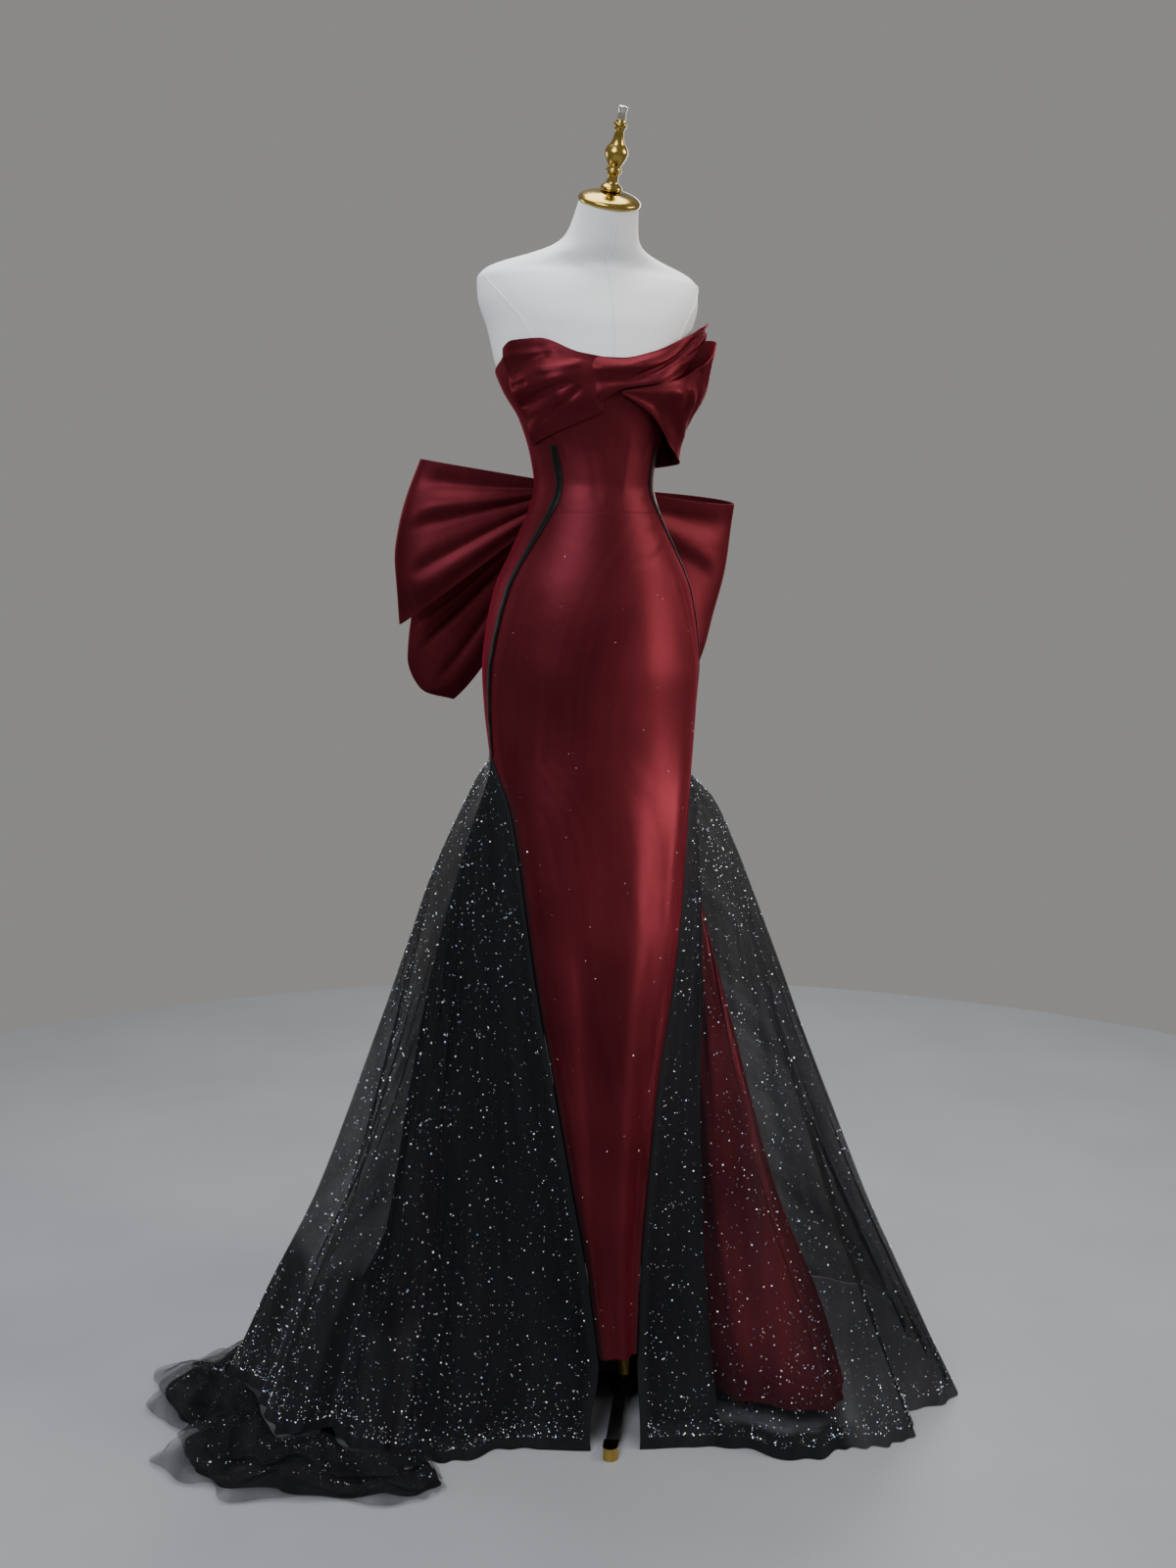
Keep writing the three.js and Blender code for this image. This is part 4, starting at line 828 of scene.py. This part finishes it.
class GownColours(bpy.types.PropertyGroup):
    """Colours of the cloth and the stand."""

    wine: colour_property("Wine satin", "Satin where the light falls on it squarely", "5f2229")
    rose_sheen: colour_property("Rose sheen", "Sheen of the satin at a low angle", "c21f48")
    ribbon: colour_property("Ribbon", "Black satin ribbon", "141313")
    net: colour_property("Net", "Black net", "222326")
    lining: colour_property("Inner net", "Gathered black net under the outer layer", "29292b")
    cover: colour_property("Form cover", "Cloth cover of the dress form", "f3f5f6")
    brass: colour_property("Brass", "Neck cap, finial, pole and leg tips", "b89c50")


class Piece:
    """What every operator of this add-on shares."""

    bl_options = {"REGISTER", "UNDO"}

    @property
    def sizes(self):
        """The sizes that a user may change."""
        return bpy.context.scene.gown_sizes


NECK_TILT = np.radians(26)
NECK_AXIS = np.array([0, -np.sin(NECK_TILT), np.cos(NECK_TILT)])
NECK_SIDE = np.array([0, np.cos(NECK_TILT), np.sin(NECK_TILT)])
FINIAL_FOOT = 17.6  # height of the finial's foot over the neck's top
CAP_PROFILE = [
    (40, 0), (42, 0.2), (43.4, 1.4), (43.6, 3.5), (43.2, 5.6), (41.6, 7.4), (39, 9.6), (34, 12.2), (28, 14.2),
    (21, 15.8), (14, 16.8), (6, 17),
]
FINIAL_PROFILE = [
    (10, 0), (13, 0.2), (15, 3), (14.2, 6), (11.5, 8.6), (8.4, 12), (7.6, 17), (8, 23), (10.8, 26), (11.2, 28.5),
    (9.4, 31), (8.8, 34), (11.4, 39), (14.6, 46), (16, 52.5), (15, 57), (12.6, 61), (9.6, 65), (7.8, 70),
    (6.4, 77), (6.2, 82), (8.2, 86), (9.2, 89), (8.9, 91.6), (7, 94), (6, 97),
]
TIP_PROFILE = [(5, 97.1), (6, 97.4), (5.7, 101), (5.4, 106), (6.2, 110), (7, 113), (6.2, 115.4), (3, 116)]


def turned(name, profile, height, samples=5, sides=64):
    """A turned solid on the tilted neck: a smooth curve through the profile's radii and heights, carried
    round the neck's axis."""
    rows = outline(profile)(np.linspace(0, 1, (len(profile) - 1) * samples + 1))
    turn = np.linspace(0, 2 * np.pi, sides, endpoint=False)[None, :, None]
    radius, up = rows[:, 0][:, None, None], rows[:, 1][:, None, None]
    centre = np.array([0, form_y(NECK_TOP_Z), NECK_TOP_Z]) + NECK_AXIS * (up + height)
    ring = centre + radius * (np.cos(turn) * np.array([1.0, 0, 0]) + np.sin(turn) * NECK_SIDE)
    return rings_body(name, ring)


class GOWN_OT_dress_form(Piece, bpy.types.Operator):
    """Covered torso and neck of the dress form, with the sewn seams of its cover."""

    bl_idname = "gown.dress_form"
    bl_label = "Dress form"

    def execute(self, context):
        z = mix(FORM_BOTTOM_Z, NECK_TOP_Z, np.linspace(0, 1, 124) ** 0.72)[:, None]
        z = np.concatenate([z[:1], z[:1] + 0.4, z[1:-1], z[-1:] - 0.3, z[-1:]])
        angle = np.linspace(-180, 180, 112, endpoint=False)[None, :]
        tuck = np.zeros_like(z)
        tuck[0] = tuck[-1] = -1.5
        torso = rings_body("form_cover_torso", skin(angle, z, tuck - FORM_EASE))
        finish_piece(torso, palette("form_cover"), "form_cover", "form_torso")
        seams = {
            "front": [(0, 1400), (0, 1500), (0, 1580), (0, 1640)],
            "back": [(180, 1380), (180, 1500), (180, 1580), (180, 1640)],
            "right": [(-44, 1440), (-50, 1480), (-60, 1520), (-78, 1560)],
            "left": [(44, 1440), (50, 1480), (60, 1520), (78, 1560)],
        }
        for side, path in seams.items():
            line = outline(path)

            def welt(u, v, line=line):
                place = line(v)
                across = degrees_of((u - 0.5) * 1.7, place[..., 1])
                return skin(place[..., 0] + across, place[..., 1], 0.15 + 0.75 * np.sin(np.pi * u))

            seam = cloth(f"cover_seam_{side}", welt, (6, 90), 0.5)
            finish_piece(seam, palette("form_cover"), "form_cover")
        return {"FINISHED"}


class GOWN_OT_metalwork(Piece, bpy.types.Operator):
    """Brass neck cap and finial, and the finishes of the stand's solids."""

    bl_idname = "gown.metalwork"
    bl_label = "Cap, finial and stand"

    def execute(self, context):
        finish_piece(turned("brass_neck_cap", CAP_PROFILE, 0.3), palette("brass"), "brass", "neck_cap")
        finish_piece(turned("brass_finial", FINIAL_PROFILE, FINIAL_FOOT), palette("brass"), "brass", "finial")
        finish_piece(turned("finial_tip", TIP_PROFILE, FINIAL_FOOT), palette("silvered_tip"), "brass")
        dark = ["stand_hub", "leg_1", "leg_2", "leg_3", "leg_4"]
        bright = ["pole", "pole_sleeve", "foot_1", "foot_2", "foot_3", "foot_4"]
        for names, finish in ((dark, "black_metal"), (bright, "brass")):
            for name in names:
                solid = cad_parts[name]
                solid.data.materials.clear()
                solid.data.materials.append(palette(finish))
        return {"FINISHED"}


def half_seam(z):
    """The angle that half of a sewn seam takes at a height."""
    return degrees_of(SEAM / 2, z)


def between(sign, first, last):
    """The two edges of a panel between two seams, in the order of rising angle, on the side of the sign."""
    near, far = (lambda z: sign * (first(z) + half_seam(z))), (lambda z: sign * (last(z) - half_seam(z)))
    return (near, far) if sign > 0 else (far, near)


class GOWN_OT_bodice(Piece, bpy.types.Operator):
    """Front, side and back panels of the strapless bodice."""

    bl_idname = "gown.bodice"
    bl_label = "Bodice"

    def execute(self, context):
        low = WAIST_Z + 0.03
        front = fitted(lambda z: -princess(z) + half_seam(z), lambda z: princess(z) - half_seam(z), low,
                       lambda u: top_edge(np.abs(mix(-SEAM_TOP, SEAM_TOP, u))), BODICE_CREASES)
        wine_piece("satin_bodice_front", front, (90, 60), "bodice_front", "stretched", "form_cover_torso")
        side_seam, centre_back = (lambda z: SIDE_SEAM + 0 * z), (lambda z: 180.0 + 0 * z)
        for side, sign in SIDES:
            for name, across, first, last, start, end in (
                ("bodice_side", 30, princess, side_seam, SEAM_TOP, SIDE_SEAM),
                ("bodice_back", 44, side_seam, centre_back, SIDE_SEAM, 180.0),
            ):
                top = lambda u, a=start, b=end: top_edge(mix(a, b, u if sign > 0 else 1 - u))
                panel = fitted(*between(sign, first, last), low, top, BACK_CREASES)
                wine_piece(f"satin_{name}_{side}", panel, (across, 50), f"{name}_{side}", "stretched",
                           "form_cover_torso")
        return {"FINISHED"}


FRONT_GRID, LONG_EDGE = (90, 236), 0.002
VEIL_SHADE_COVER = 0.94  # of the satin painted dark, for the net lying over it and the shade of the turning panel's edges
# How far in from the front panel's edges the painted veil of net and shade reaches, by height: wearer's right,
# then left
VEIL_SHADE_RIGHT = column(table("z width", [(112, 30), (300, 34), (520, 38), (720, 46), (860, 40)]), "z", "width")
VEIL_SHADE_LEFT = column(table("z width", [(112, 30), (300, 34), (480, 30), (600, 14), (860, 10)]), "z", "width")


class GOWN_OT_fitted_skirt(Piece, bpy.types.Operator):
    """Long front panel and the two back panels of the fitted skirt."""

    bl_idname = "gown.fitted_skirt"
    bl_label = "Fitted skirt"

    def execute(self, context):
        piece = wine_piece("satin_skirt_front", front_panel, FRONT_GRID, "skirt_front", "hung", "form_cover_torso",
                           edge=LONG_EDGE)
        across, up = np.meshgrid(*(steps(count, LONG_EDGE) for count in FRONT_GRID))
        z = mix(PANEL_HEM_Z, WAIST_Z, up)
        half = np.pi / 2 * tongue_width(np.minimum(z, FLARE_Z))
        from_right, from_left = across * 2 * half, (1 - across) * 2 * half
        # painted shade: dark towards the panel's edges below the hips, for the net lying over them and the shade
        # where the panel turns away
        veil_shade = np.maximum(smooth(1 - from_right / VEIL_SHADE_RIGHT(z)), smooth(1 - from_left / VEIL_SHADE_LEFT(z)))
        mark(piece, "painted_veil_shade", np.tile((VEIL_SHADE_COVER * veil_shade * smooth((FLARE_Z - 6 - z) / 70)).ravel(), 2))
        for side, sign in SIDES:
            edges = between(sign, princess, lambda z: 180.0 + 0 * z)
            panel = fitted(*edges, FLARE_Z + SEAM, WAIST_Z - SEAM, BACK_CREASES)
            wine_piece(f"satin_skirt_back_{side}", panel, (50, 60), f"skirt_back_{side}", "stretched",
                       "form_cover_torso")
        return {"FINISHED"}


RIBBON_TOP_Z, RIBBON_THICKNESS = 1318.0, 1.2


class GOWN_OT_ribbons(Piece, bpy.types.Operator):
    """Black satin ribbon sewn over each princess seam."""

    bl_idname = "gown.ribbons"
    bl_label = "Seam ribbons"

    def execute(self, context):
        width = self.sizes.ribbon_width * 1000
        for side, sign in SIDES:

            def ribbon(u, v, sign=sign):
                z = mix(FLARE_Z + 2, RIBBON_TOP_Z, v)
                ease = 0.25 * wave(z / 37 + 0.2 * sign) + 0.15 * wave(z / 13)
                across = (u - 0.5) * (width + 0.5 * wave(z / 51))
                out = GOWN_OFFSET + 1.6 + (0.8 + ease) * np.sin(np.pi * u)
                return skin(sign * princess(z) + degrees_of(across, z), z, out)

            piece = cloth(f"ribbon_{side}", ribbon, (10, 120), RIBBON_THICKNESS)
            finish_piece(piece, palette("black_satin"), "black_satin", f"seam_ribbon_{side}")
        return {"FINISHED"}


NET_COLUMNS, NET_GAP = 28, 2.4  # pleats round a half of the net; distance of its inner layer
HEAP_FIRST, HEAP_LAST, HEAP_RIDGE, HEM_LIFT = 7 / NET_COLUMNS, 20 / NET_COLUMNS, 30.0, 1.6


def heap_ridge(s):
    """Height of the train's ridge under the net's hem, eased up from each end of the heap."""
    share = (s - HEAP_FIRST) / (HEAP_LAST - HEAP_FIRST)
    return HEAP_RIDGE * smooth(share * 3.5) * smooth((1 - share) * 4) + 4


def net_hem(s):
    """Height of the right net's hem: on the heap where that lies, else just clear of the floor."""
    on_heap = (s > HEAP_FIRST - 1e-6) & (s < HEAP_LAST + 1e-6)
    reach = 0.5 / NET_COLUMNS
    inside = smooth((s - HEAP_FIRST + reach) / reach) * smooth((HEAP_LAST + reach - s) / reach)
    beside = 1 + (heap_ridge(np.clip(s, HEAP_FIRST, HEAP_LAST)) + HEM_LIFT - 1) * inside
    return np.where(on_heap, heap_ridge(s) + HEM_LIFT, beside)


def fallen(layer, hem, top=FLARE_Z - SEAM):
    """A layer as a surface over u, its share round, and v, from its hem up to the hips."""

    def at(u, v):
        low = hem(u) if callable(hem) else hem
        return layer(u, 1 - mix(low, top, v) / FLARE_Z)

    return at


def net_layers(ripple):
    """The net's layers by name: sign, surface, height of the hem, first and last share round, and grid."""
    left, right = (NET_FLOOR_LEFT, NET_SPREAD_LEFT), (NET_FLOOR_RIGHT, NET_SPREAD_RIGHT)
    inner, start = (INNER_FLOOR_RIGHT, INNER_SPREAD), 0.4 / NET_COLUMNS
    return {
        "net_left": (1, flared(1, *left, 0, NET_SWAY, ripple), 1.0, (0, 1), (210, 76)),
        "net_right": (-1, flared(-1, *right, 0, NET_SWAY, ripple), net_hem, (0, 1), (210, 76)),
        "inner_net_left": (
            1, flared(1, *left, NET_GAP, NET_SWAY, ripple), 8.0, (start, 3 / NET_COLUMNS), (30, 90)),
        "inner_net_right": (
            -1, flared(-1, *inner, NET_GAP, NET_SWAY * 0.8, ripple), 6.0, (start, 0.995), (150, 76)),
    }


FLARE_HEM_Z = 27.0


class GOWN_OT_satin_flares(Piece, bpy.types.Operator):
    """Flared satin under the net, left and right."""

    bl_idname = "gown.satin_flares"
    bl_label = "Satin flares"

    def execute(self, context):
        left = flared(1, SATIN_FLOOR_LEFT, SATIN_SPREAD, 2, 12, 2.2)
        right = flared(-1, SATIN_FLOOR_RIGHT, INNER_SPREAD, 3.8, 9, 1.0)
        for side, sign, layer, first in (("left", 1, left, 0.12), ("right", -1, right, 0.16)):
            wine_piece(f"satin_flare_cloth_{side}", fallen(layer, FLARE_HEM_Z), (140, 90), f"satin_flare_{side}",
                       "hung", f"satin_skirt_back_{side}", "wine_satin_painted_light", side=sign, spans=(first, 0.98))
        return {"FINISHED"}


FACING = 0.022  # share of the way round over which the net is doubled behind its front edge


def net_closed(sign, share, up):
    """What bunching and the layers behind add to the net's cover: all of it at the front edge and in the heap of
    the train, much of it round the sides and back, and a band along the hem in front of the left flare."""
    edge = bell(share, FACING)
    if sign > 0:
        side = 0.2 * smooth((share - 0.25) / 0.07) + 0.16 * smooth((share - 0.46) / 0.1)
        side = side + 0.08 * smooth((share - 0.25) / 0.07) * smooth((0.26 - up) / 0.14)
        side = side - 0.1 * bell(share - 0.3, 0.03) * smooth((up - 0.6) / 0.2) - 0.1 * bell(share - 0.14, 0.07)
        low = 0.8 * smooth((0.3 - share) / 0.06) * smooth((0.042 - up) / 0.015)
    else:
        side = 0.2 * smooth((share - 0.2) / 0.2) + 0.16 * smooth((share - 0.72) / 0.1)
        swept = smooth((share - HEAP_FIRST) * 12) * smooth((HEAP_LAST - share) * 6)
        low = swept * smooth((0.2 + 0.03 * wave(5 * share) - up) / 0.05) + 0.6 * smooth((0.05 - up) / 0.03)
    return np.clip(np.maximum(edge, side + low), -0.1, 1)


class GOWN_OT_nets(Piece, bpy.types.Operator):
    """Outer net overskirt in two halves and the gathered inner net that shows dark through it."""

    bl_idname = "gown.nets"
    bl_label = "Net overskirt"

    def execute(self, context):
        thick = self.sizes.net * 1000
        for name, (sign, layer, hem, spans, grid) in net_layers(self.sizes.net_ripple * 1000).items():
            piece = cloth(f"tulle_{name}", fallen(layer, hem), grid, thick, sign, LONG_EDGE, spans)
            lining = name.startswith("inner")
            finish_piece(piece, palette("black_net_lining" if lining else "black_net"), "black_net", name)
            share, up = np.meshgrid(mix(*spans, steps(grid[0], LONG_EDGE)), steps(grid[1], LONG_EDGE))
            mark(piece, "doubled", np.tile(net_closed(sign, share, up).ravel(), 2))
        return {"FINISHED"}


# Section of the train from its ridge to its outer edge: share of the way, height, how far waves lift it
HEAP_SECTION = table("share height lift", [
    (0, 30, 0), (0.3, 24, 6), (0.55, 18, 9), (0.66, 14, 8), (0.78, 12, 7), (0.86, 8, 5), (0.97, 6, 3), (1, 3.5, 0),
])
heap_height, heap_lift = columns(HEAP_SECTION, "share", "height lift")


def train_surface(reach, lift, seed):
    """The train over s along it and t from its ridge out: plan points between the net's hem and a share of the
    way to the train's edge, at the section's height, crumpled by slanting sines and lifted above the layer
    below; its edge runs out in points."""
    net_right = flared(-1, NET_FLOOR_RIGHT, NET_SPREAD_RIGHT, 0, NET_SWAY, 0)
    edge = outline(TRAIN_EDGE)

    def at(u, v):
        s = mix(HEAP_FIRST, HEAP_LAST, u)
        ridge = net_right(s, 1 - net_hem(s) / FLARE_Z)
        inward = -ridge * np.array([1, 1, 0])
        inward = inward / lengths(inward)
        end = edge(u)
        row = u * 13
        swell = np.sin(row * 2.1) + 0.6 * np.sin(row * 3.7 + 1)
        tips = 1 + v * (0.15 * (np.abs(wave(3 * u + seed)) - 0.62) + 0.045 * wave(11 * u + 2 * seed))
        share = v * reach * tips
        start = ridge[..., :2] - 2 * inward[..., :2]
        plan = start + (end - start) * share[..., None]
        size = mix(0.45, 1, heap_ridge(s) / (HEAP_RIDGE + 4))
        ruffle = wave(9 * u + 0.8 * v + seed) + 0.6 * wave(21 * u - 1.5 * v + 2 * seed)
        crumple = 2.6 * wave(6 * u + 1.5 * v + seed) + 1.6 * wave(3 * v + 5 * u)
        crumple = crumple + 3.4 * ruffle * smooth(v * 1.4 - 0.3)
        height = (heap_height(share) + heap_lift(share) * swell) * size
        rim = smooth((1 - v) * 5)
        z = height + lift * smooth(v * 6) + crumple * smooth(v * 5) * mix(0.5, 1, rim) * 0.8
        return points(plan[..., 0], plan[..., 1], np.maximum(z, 2.2 + lift * 0.5))

    return at


# Loose layers of the train: share of the way that each reaches, lift over the heap in mm, phase of its waves
TRAIN_LAYERS = [(1.03, 1.5, 0.35), (0.84, 5.5, 0.62), (0.6, 10.0, 0.85)]


class GOWN_OT_train(Piece, bpy.types.Operator):
    """Train swept to the wearer's right: a dark core of bunched net and loose layers lying over it."""

    bl_idname = "gown.train"
    bl_label = "Train"

    def execute(self, context):
        u, v = np.meshgrid(steps(120, 0.002), steps(30, 0.004))
        top = train_surface(0.78, -2.5, 0.1)(u, v)
        bottom = top * np.array([1, 1, 0.0])
        core = closed_body("train_core", top, bottom, -1, np.stack([u * 1.1, v * 0.2], -1))
        finish_piece(core, palette("black_net_lining"), "black_net", "train_heap")
        for i, (reach, lift, seed) in enumerate(TRAIN_LAYERS):
            piece = cloth(f"train_layer_{i + 1}", train_surface(reach, lift, seed), (150, 32), 0.6, -1)
            finish_piece(piece, palette("black_net"), "black_net")
        return {"FINISHED"}


class GOWN_OT_bust(Piece, bpy.types.Operator):
    """Gathered drape over the right cup, the rolled strip and the hanging loop."""

    bl_idname = "gown.bust"
    bl_label = "Bust drape"

    def execute(self, context):
        for name, surface, grid, held in (
            ("bust_drape", bust_drape, (90, 80), "gathered"), ("bust_strip", bust_strip, (100, 50), "folded"),
            ("bust_loop", bust_loop, (100, 70), "draped"),
        ):
            wine_piece(f"satin_{name}", surface, grid, name, held, "satin_bodice_front")
        return {"FINISHED"}


class GOWN_OT_bow(Piece, bpy.types.Operator):
    """Four loops of the back bow and the wrapped knot that gathers them."""

    bl_idname = "gown.bow"
    bl_label = "Back bow"

    def execute(self, context):
        for name, shape in BOW_LOOPS.items():
            wine_piece(f"satin_{name}", bow_loop(**shape), (90, 60), name, "folded", "satin_bow_knot",
                       side=shape["sign"])
        x = np.concatenate([[-1, -0.995], np.linspace(-0.98, 0.98, 60), [0.995, 1]])[:, None]
        turn = np.linspace(0, 2 * np.pi, 96, endpoint=False)[None, :]
        scale = 1 - 0.16 * np.abs(x) ** 3
        folds = 1.5 * np.sin(6 * turn + 1.2 * np.sin(3 * x)) * (1 - np.abs(x) ** 6) - 1.2
        ring = points(
            x * KNOT_HALF_WIDTH, KNOT_Y + (KNOT_HALF_DEPTH * scale + folds) * np.cos(turn),
            KNOT_Z + (KNOT_HALF_HEIGHT * scale + folds) * np.sin(turn))
        knot = rings_body("satin_bow_knot", ring)
        mesh = knot.data
        layer = mesh.uv_layers.new(name="cloth")
        places = np.empty(len(mesh.loops), np.int32)
        mesh.loops.foreach_get("vertex_index", places)
        coordinates = np.empty(len(mesh.vertices) * 3)
        mesh.vertices.foreach_get("co", coordinates)
        coordinates = coordinates.reshape(-1, 3)
        layer.data.foreach_set("uv", coordinates[places][:, [0, 2]].astype(np.float32).ravel())
        finish_piece(knot, palette("wine_satin"), "wine_satin", "bow_knot")
        return {"FINISHED"}


def flake_mesh(name, centres, normals, sizes, rng):
    """Glitter: at each centre a flat eight-sided diamond, turned and tipped by chance from the cloth's normal."""
    count = len(centres)
    normal = normals + rng.normal(0, 0.45, (count, 3))
    normal /= lengths(normal)
    side = np.cross(normal, rng.normal(0, 1, (count, 3)))
    side /= lengths(side)
    other = np.cross(normal, side)
    arms = np.stack([side, other, -side, -other, normal * 0.7, -normal * 0.7], 1)
    vertices = centres[:, None] + arms * sizes[:, None, None]
    pattern = np.array([(0, 1, 4), (1, 2, 4), (2, 3, 4), (3, 0, 4), (1, 0, 5), (2, 1, 5), (3, 2, 5), (0, 3, 5)])
    faces = (np.arange(count)[:, None, None] * 6 + pattern).reshape(-1, 3)
    item = put(name, vertices.reshape(-1, 3), faces[:0], faces)
    # painted glint: most flakes glow faintly, a few brightly
    painted_glint = rng.random(count) ** 4 * 4.5 + 0.1
    for label, values in (("tint", rng.random(count)), ("painted_glint", painted_glint)):
        mark(item, label, np.repeat(values, 6))
    return item


class GOWN_OT_glitter(Piece, bpy.types.Operator):
    """Glitter flakes fixed to the net, thicker towards the hem, with a few shed on the train and the satin."""

    bl_idname = "gown.glitter"
    bl_label = "Glitter"

    def execute(self, context):
        rng = np.random.default_rng(7)
        largest = self.sizes.glitter_size * 1000
        layers = net_layers(self.sizes.net_ripple * 1000)
        train = train_surface(0.8, 5.0, 0.62)
        half = self.sizes.glitter_count
        # each surface: which side faces out, how many flakes, and how strongly they gather towards its foot
        places = {
            "net_left": (fallen(*layers["net_left"][1:3]), 1, half, 2.0),
            "net_right": (fallen(*layers["net_right"][1:3]), -1, half, 2.0),
            "train": (train, -1, half // 8, 1.0),
            "front": (front_panel, 1, half // 60, 1.0),
        }
        for name, (surface, side, count, lean) in places.items():
            u, v = rng.random(count) * 0.98 + 0.01, (rng.random(count) ** lean) * 0.97 + 0.015
            across = surface(u + STEP, v) - surface(u - STEP, v)
            normal = np.cross(across, surface(u, v + STEP) - surface(u, v - STEP)) * side
            normal /= lengths(normal)
            sizes = largest * (0.35 + 0.65 * rng.random(count) ** 4)
            centres = surface(u, v) + normal * (sizes[:, None] * 0.5 + 0.2)
            flecks = flake_mesh(f"glitter_{name}", centres, normal, sizes, rng)
            finish_piece(flecks, palette("glitter"), "black_net" if name != "front" else "wine_satin")
        return {"FINISHED"}


# ---- Stage ----
FLOOR_RADII, FLOOR_SIDES = (0.4, 1.0, 1.6, 2.2), 128
EYE_HEIGHT, EYE_DISTANCE, EYE_TURN, EYE_ASIDE = 1.15, 2.33, 20.0, 0.0564
LENS, SHIFT = 37.62, (-0.0275, -0.138)
RIGHT = Vector((np.cos(np.radians(EYE_TURN)), -np.sin(np.radians(EYE_TURN)), 0))
AWAY = Vector((np.sin(np.radians(EYE_TURN)), np.cos(np.radians(EYE_TURN)), 0))
# Lamps: to the camera's right of the gown, away from the camera, height, width, power in watts, colour, height
# aimed at, and how wide a beam its grid lets out in degrees
LAMPS = {
    "key": (1.9, -0.2, 2.1, 0.9, 22, "fff6ec", 0.9, 180),
    "low_key": (1.7, -0.35, 0.95, 0.7, 1.5, "ffece8", 0.72, 34),
    "front_fill": (-0.8, -2.4, 2.6, 1.8, 56, "f1f5ff", 1.0, 180),
    "top": (0.0, 0.0, 3.1, 1.8, 56, "ffffff", 0.9, 180),
    "left_edge": (-1.9, 0.9, 1.6, 0.9, 7, "eef3ff", 0.9, 180),
    "back": (0.6, 2.4, 2.0, 1.4, 22, "ffffff", 0.9, 180),
}


class GOWN_OT_stage(Piece, bpy.types.Operator):
    """Plain pale floor, soft studio lamps, even surroundings and the camera."""

    bl_idname = "gown.stage"
    bl_label = "Stage"

    def execute(self, context):
        turn = np.linspace(0, 2 * np.pi, FLOOR_SIDES, endpoint=False)
        radii = np.array(FLOOR_RADII)[:, None]
        rings = points(radii * np.cos(turn), radii * np.sin(turn), 0.0).reshape(-1, 3)
        i, j = np.meshgrid(np.arange(FLOOR_SIDES), np.arange(len(FLOOR_RADII) - 1) * FLOOR_SIDES)
        a, b = (j + i).ravel(), (j + (i + 1) % FLOOR_SIDES).ravel()
        quads = np.stack([a, a + FLOOR_SIDES, b + FLOOR_SIDES, b], 1)
        around = np.arange(FLOOR_SIDES)
        fan = np.stack([np.full(FLOOR_SIDES, len(rings)), around, np.roll(around, -1)], 1)
        mesh = bpy.data.meshes.new("floor")
        mesh.from_pydata(rings.tolist() + [(0, 0, 0)], [], quads.tolist() + fan.tolist())
        floor = link("floor", mesh)
        made, tree, shader, coordinates = begin("pale_floor")
        faint = noise(tree, coordinates.outputs["Object"], 3.0, 3.0)
        connect(
            tree, shader, Base_Color=ramp(tree, faint, linear("929599"), linear("9a9ca0")), Roughness=0.45,
            IOR=1.45)
        mesh.materials.append(made)

        world = bpy.data.worlds.new("surroundings")
        context.scene.world = world
        world.use_nodes = True
        surround = world.node_tree.nodes["Background"]
        surround.inputs["Color"].default_value = (*linear("9b9a98"), 1)
        surround.inputs["Strength"].default_value = 0.8

        centre = Vector((AXIS[0], AXIS[1], 0))
        for name, (right, away, height, width, power, colour, aimed, beam) in LAMPS.items():
            lamp = bpy.data.lights.new(f"lamp_{name}", "AREA")
            lamp.shape, lamp.size, lamp.energy, lamp.color = "DISK", width, power, linear(colour)
            lamp.spread = np.radians(beam)
            item = link(f"lamp_{name}", lamp)
            item.location = centre + RIGHT * right + AWAY * away + Vector((0, 0, height))
            aim = centre + Vector((0, 0, aimed)) - item.location
            item.rotation_euler = aim.to_track_quat("-Z", "Y").to_euler()

        view = bpy.data.cameras.new("camera")
        view.lens, view.shift_x, view.shift_y = LENS, *SHIFT
        camera = link("camera", view)
        camera.location = centre + RIGHT * EYE_ASIDE - AWAY * EYE_DISTANCE + Vector((0, 0, EYE_HEIGHT))
        camera.rotation_euler = (np.radians(90), 0, -np.radians(EYE_TURN))
        context.scene.camera = camera
        return {"FINISHED"}


PIECES = (
    GOWN_OT_dress_form, GOWN_OT_metalwork, GOWN_OT_bodice, GOWN_OT_fitted_skirt, GOWN_OT_ribbons,
    GOWN_OT_satin_flares, GOWN_OT_nets, GOWN_OT_train, GOWN_OT_bust, GOWN_OT_bow, GOWN_OT_glitter, GOWN_OT_stage,
)


class GOWN_PT_pieces(bpy.types.Panel):
    """Lists the sizes, the colours and the pieces in the 3D view's sidebar."""

    bl_label = "Gown"
    bl_idname = "GOWN_PT_pieces"
    bl_space_type = "VIEW_3D"
    bl_region_type = "UI"
    bl_category = "Gown"

    def draw(self, context):
        for group in (context.scene.gown_sizes, context.scene.gown_colours):
            for name in group.__annotations__:
                self.layout.prop(group, name)
        for piece in PIECES:
            self.layout.operator(piece.bl_idname)


CLASSES = (GownSizes, GownColours, *PIECES, GOWN_PT_pieces)


def register():
    """Registers the classes and hangs the two groups of properties on the scene."""
    for item in CLASSES:
        bpy.utils.register_class(item)
    bpy.types.Scene.gown_sizes = bpy.props.PointerProperty(type=GownSizes)
    bpy.types.Scene.gown_colours = bpy.props.PointerProperty(type=GownColours)


def unregister():
    """Takes the properties and the classes away again."""
    del bpy.types.Scene.gown_sizes, bpy.types.Scene.gown_colours
    for item in reversed(CLASSES):
        bpy.utils.unregister_class(item)


def main():
    """Makes every piece in order."""
    register()
    for piece in PIECES:
        group, name = piece.bl_idname.split(".")
        getattr(getattr(bpy.ops, group), name)()


if __name__ == "__main__":
    main()
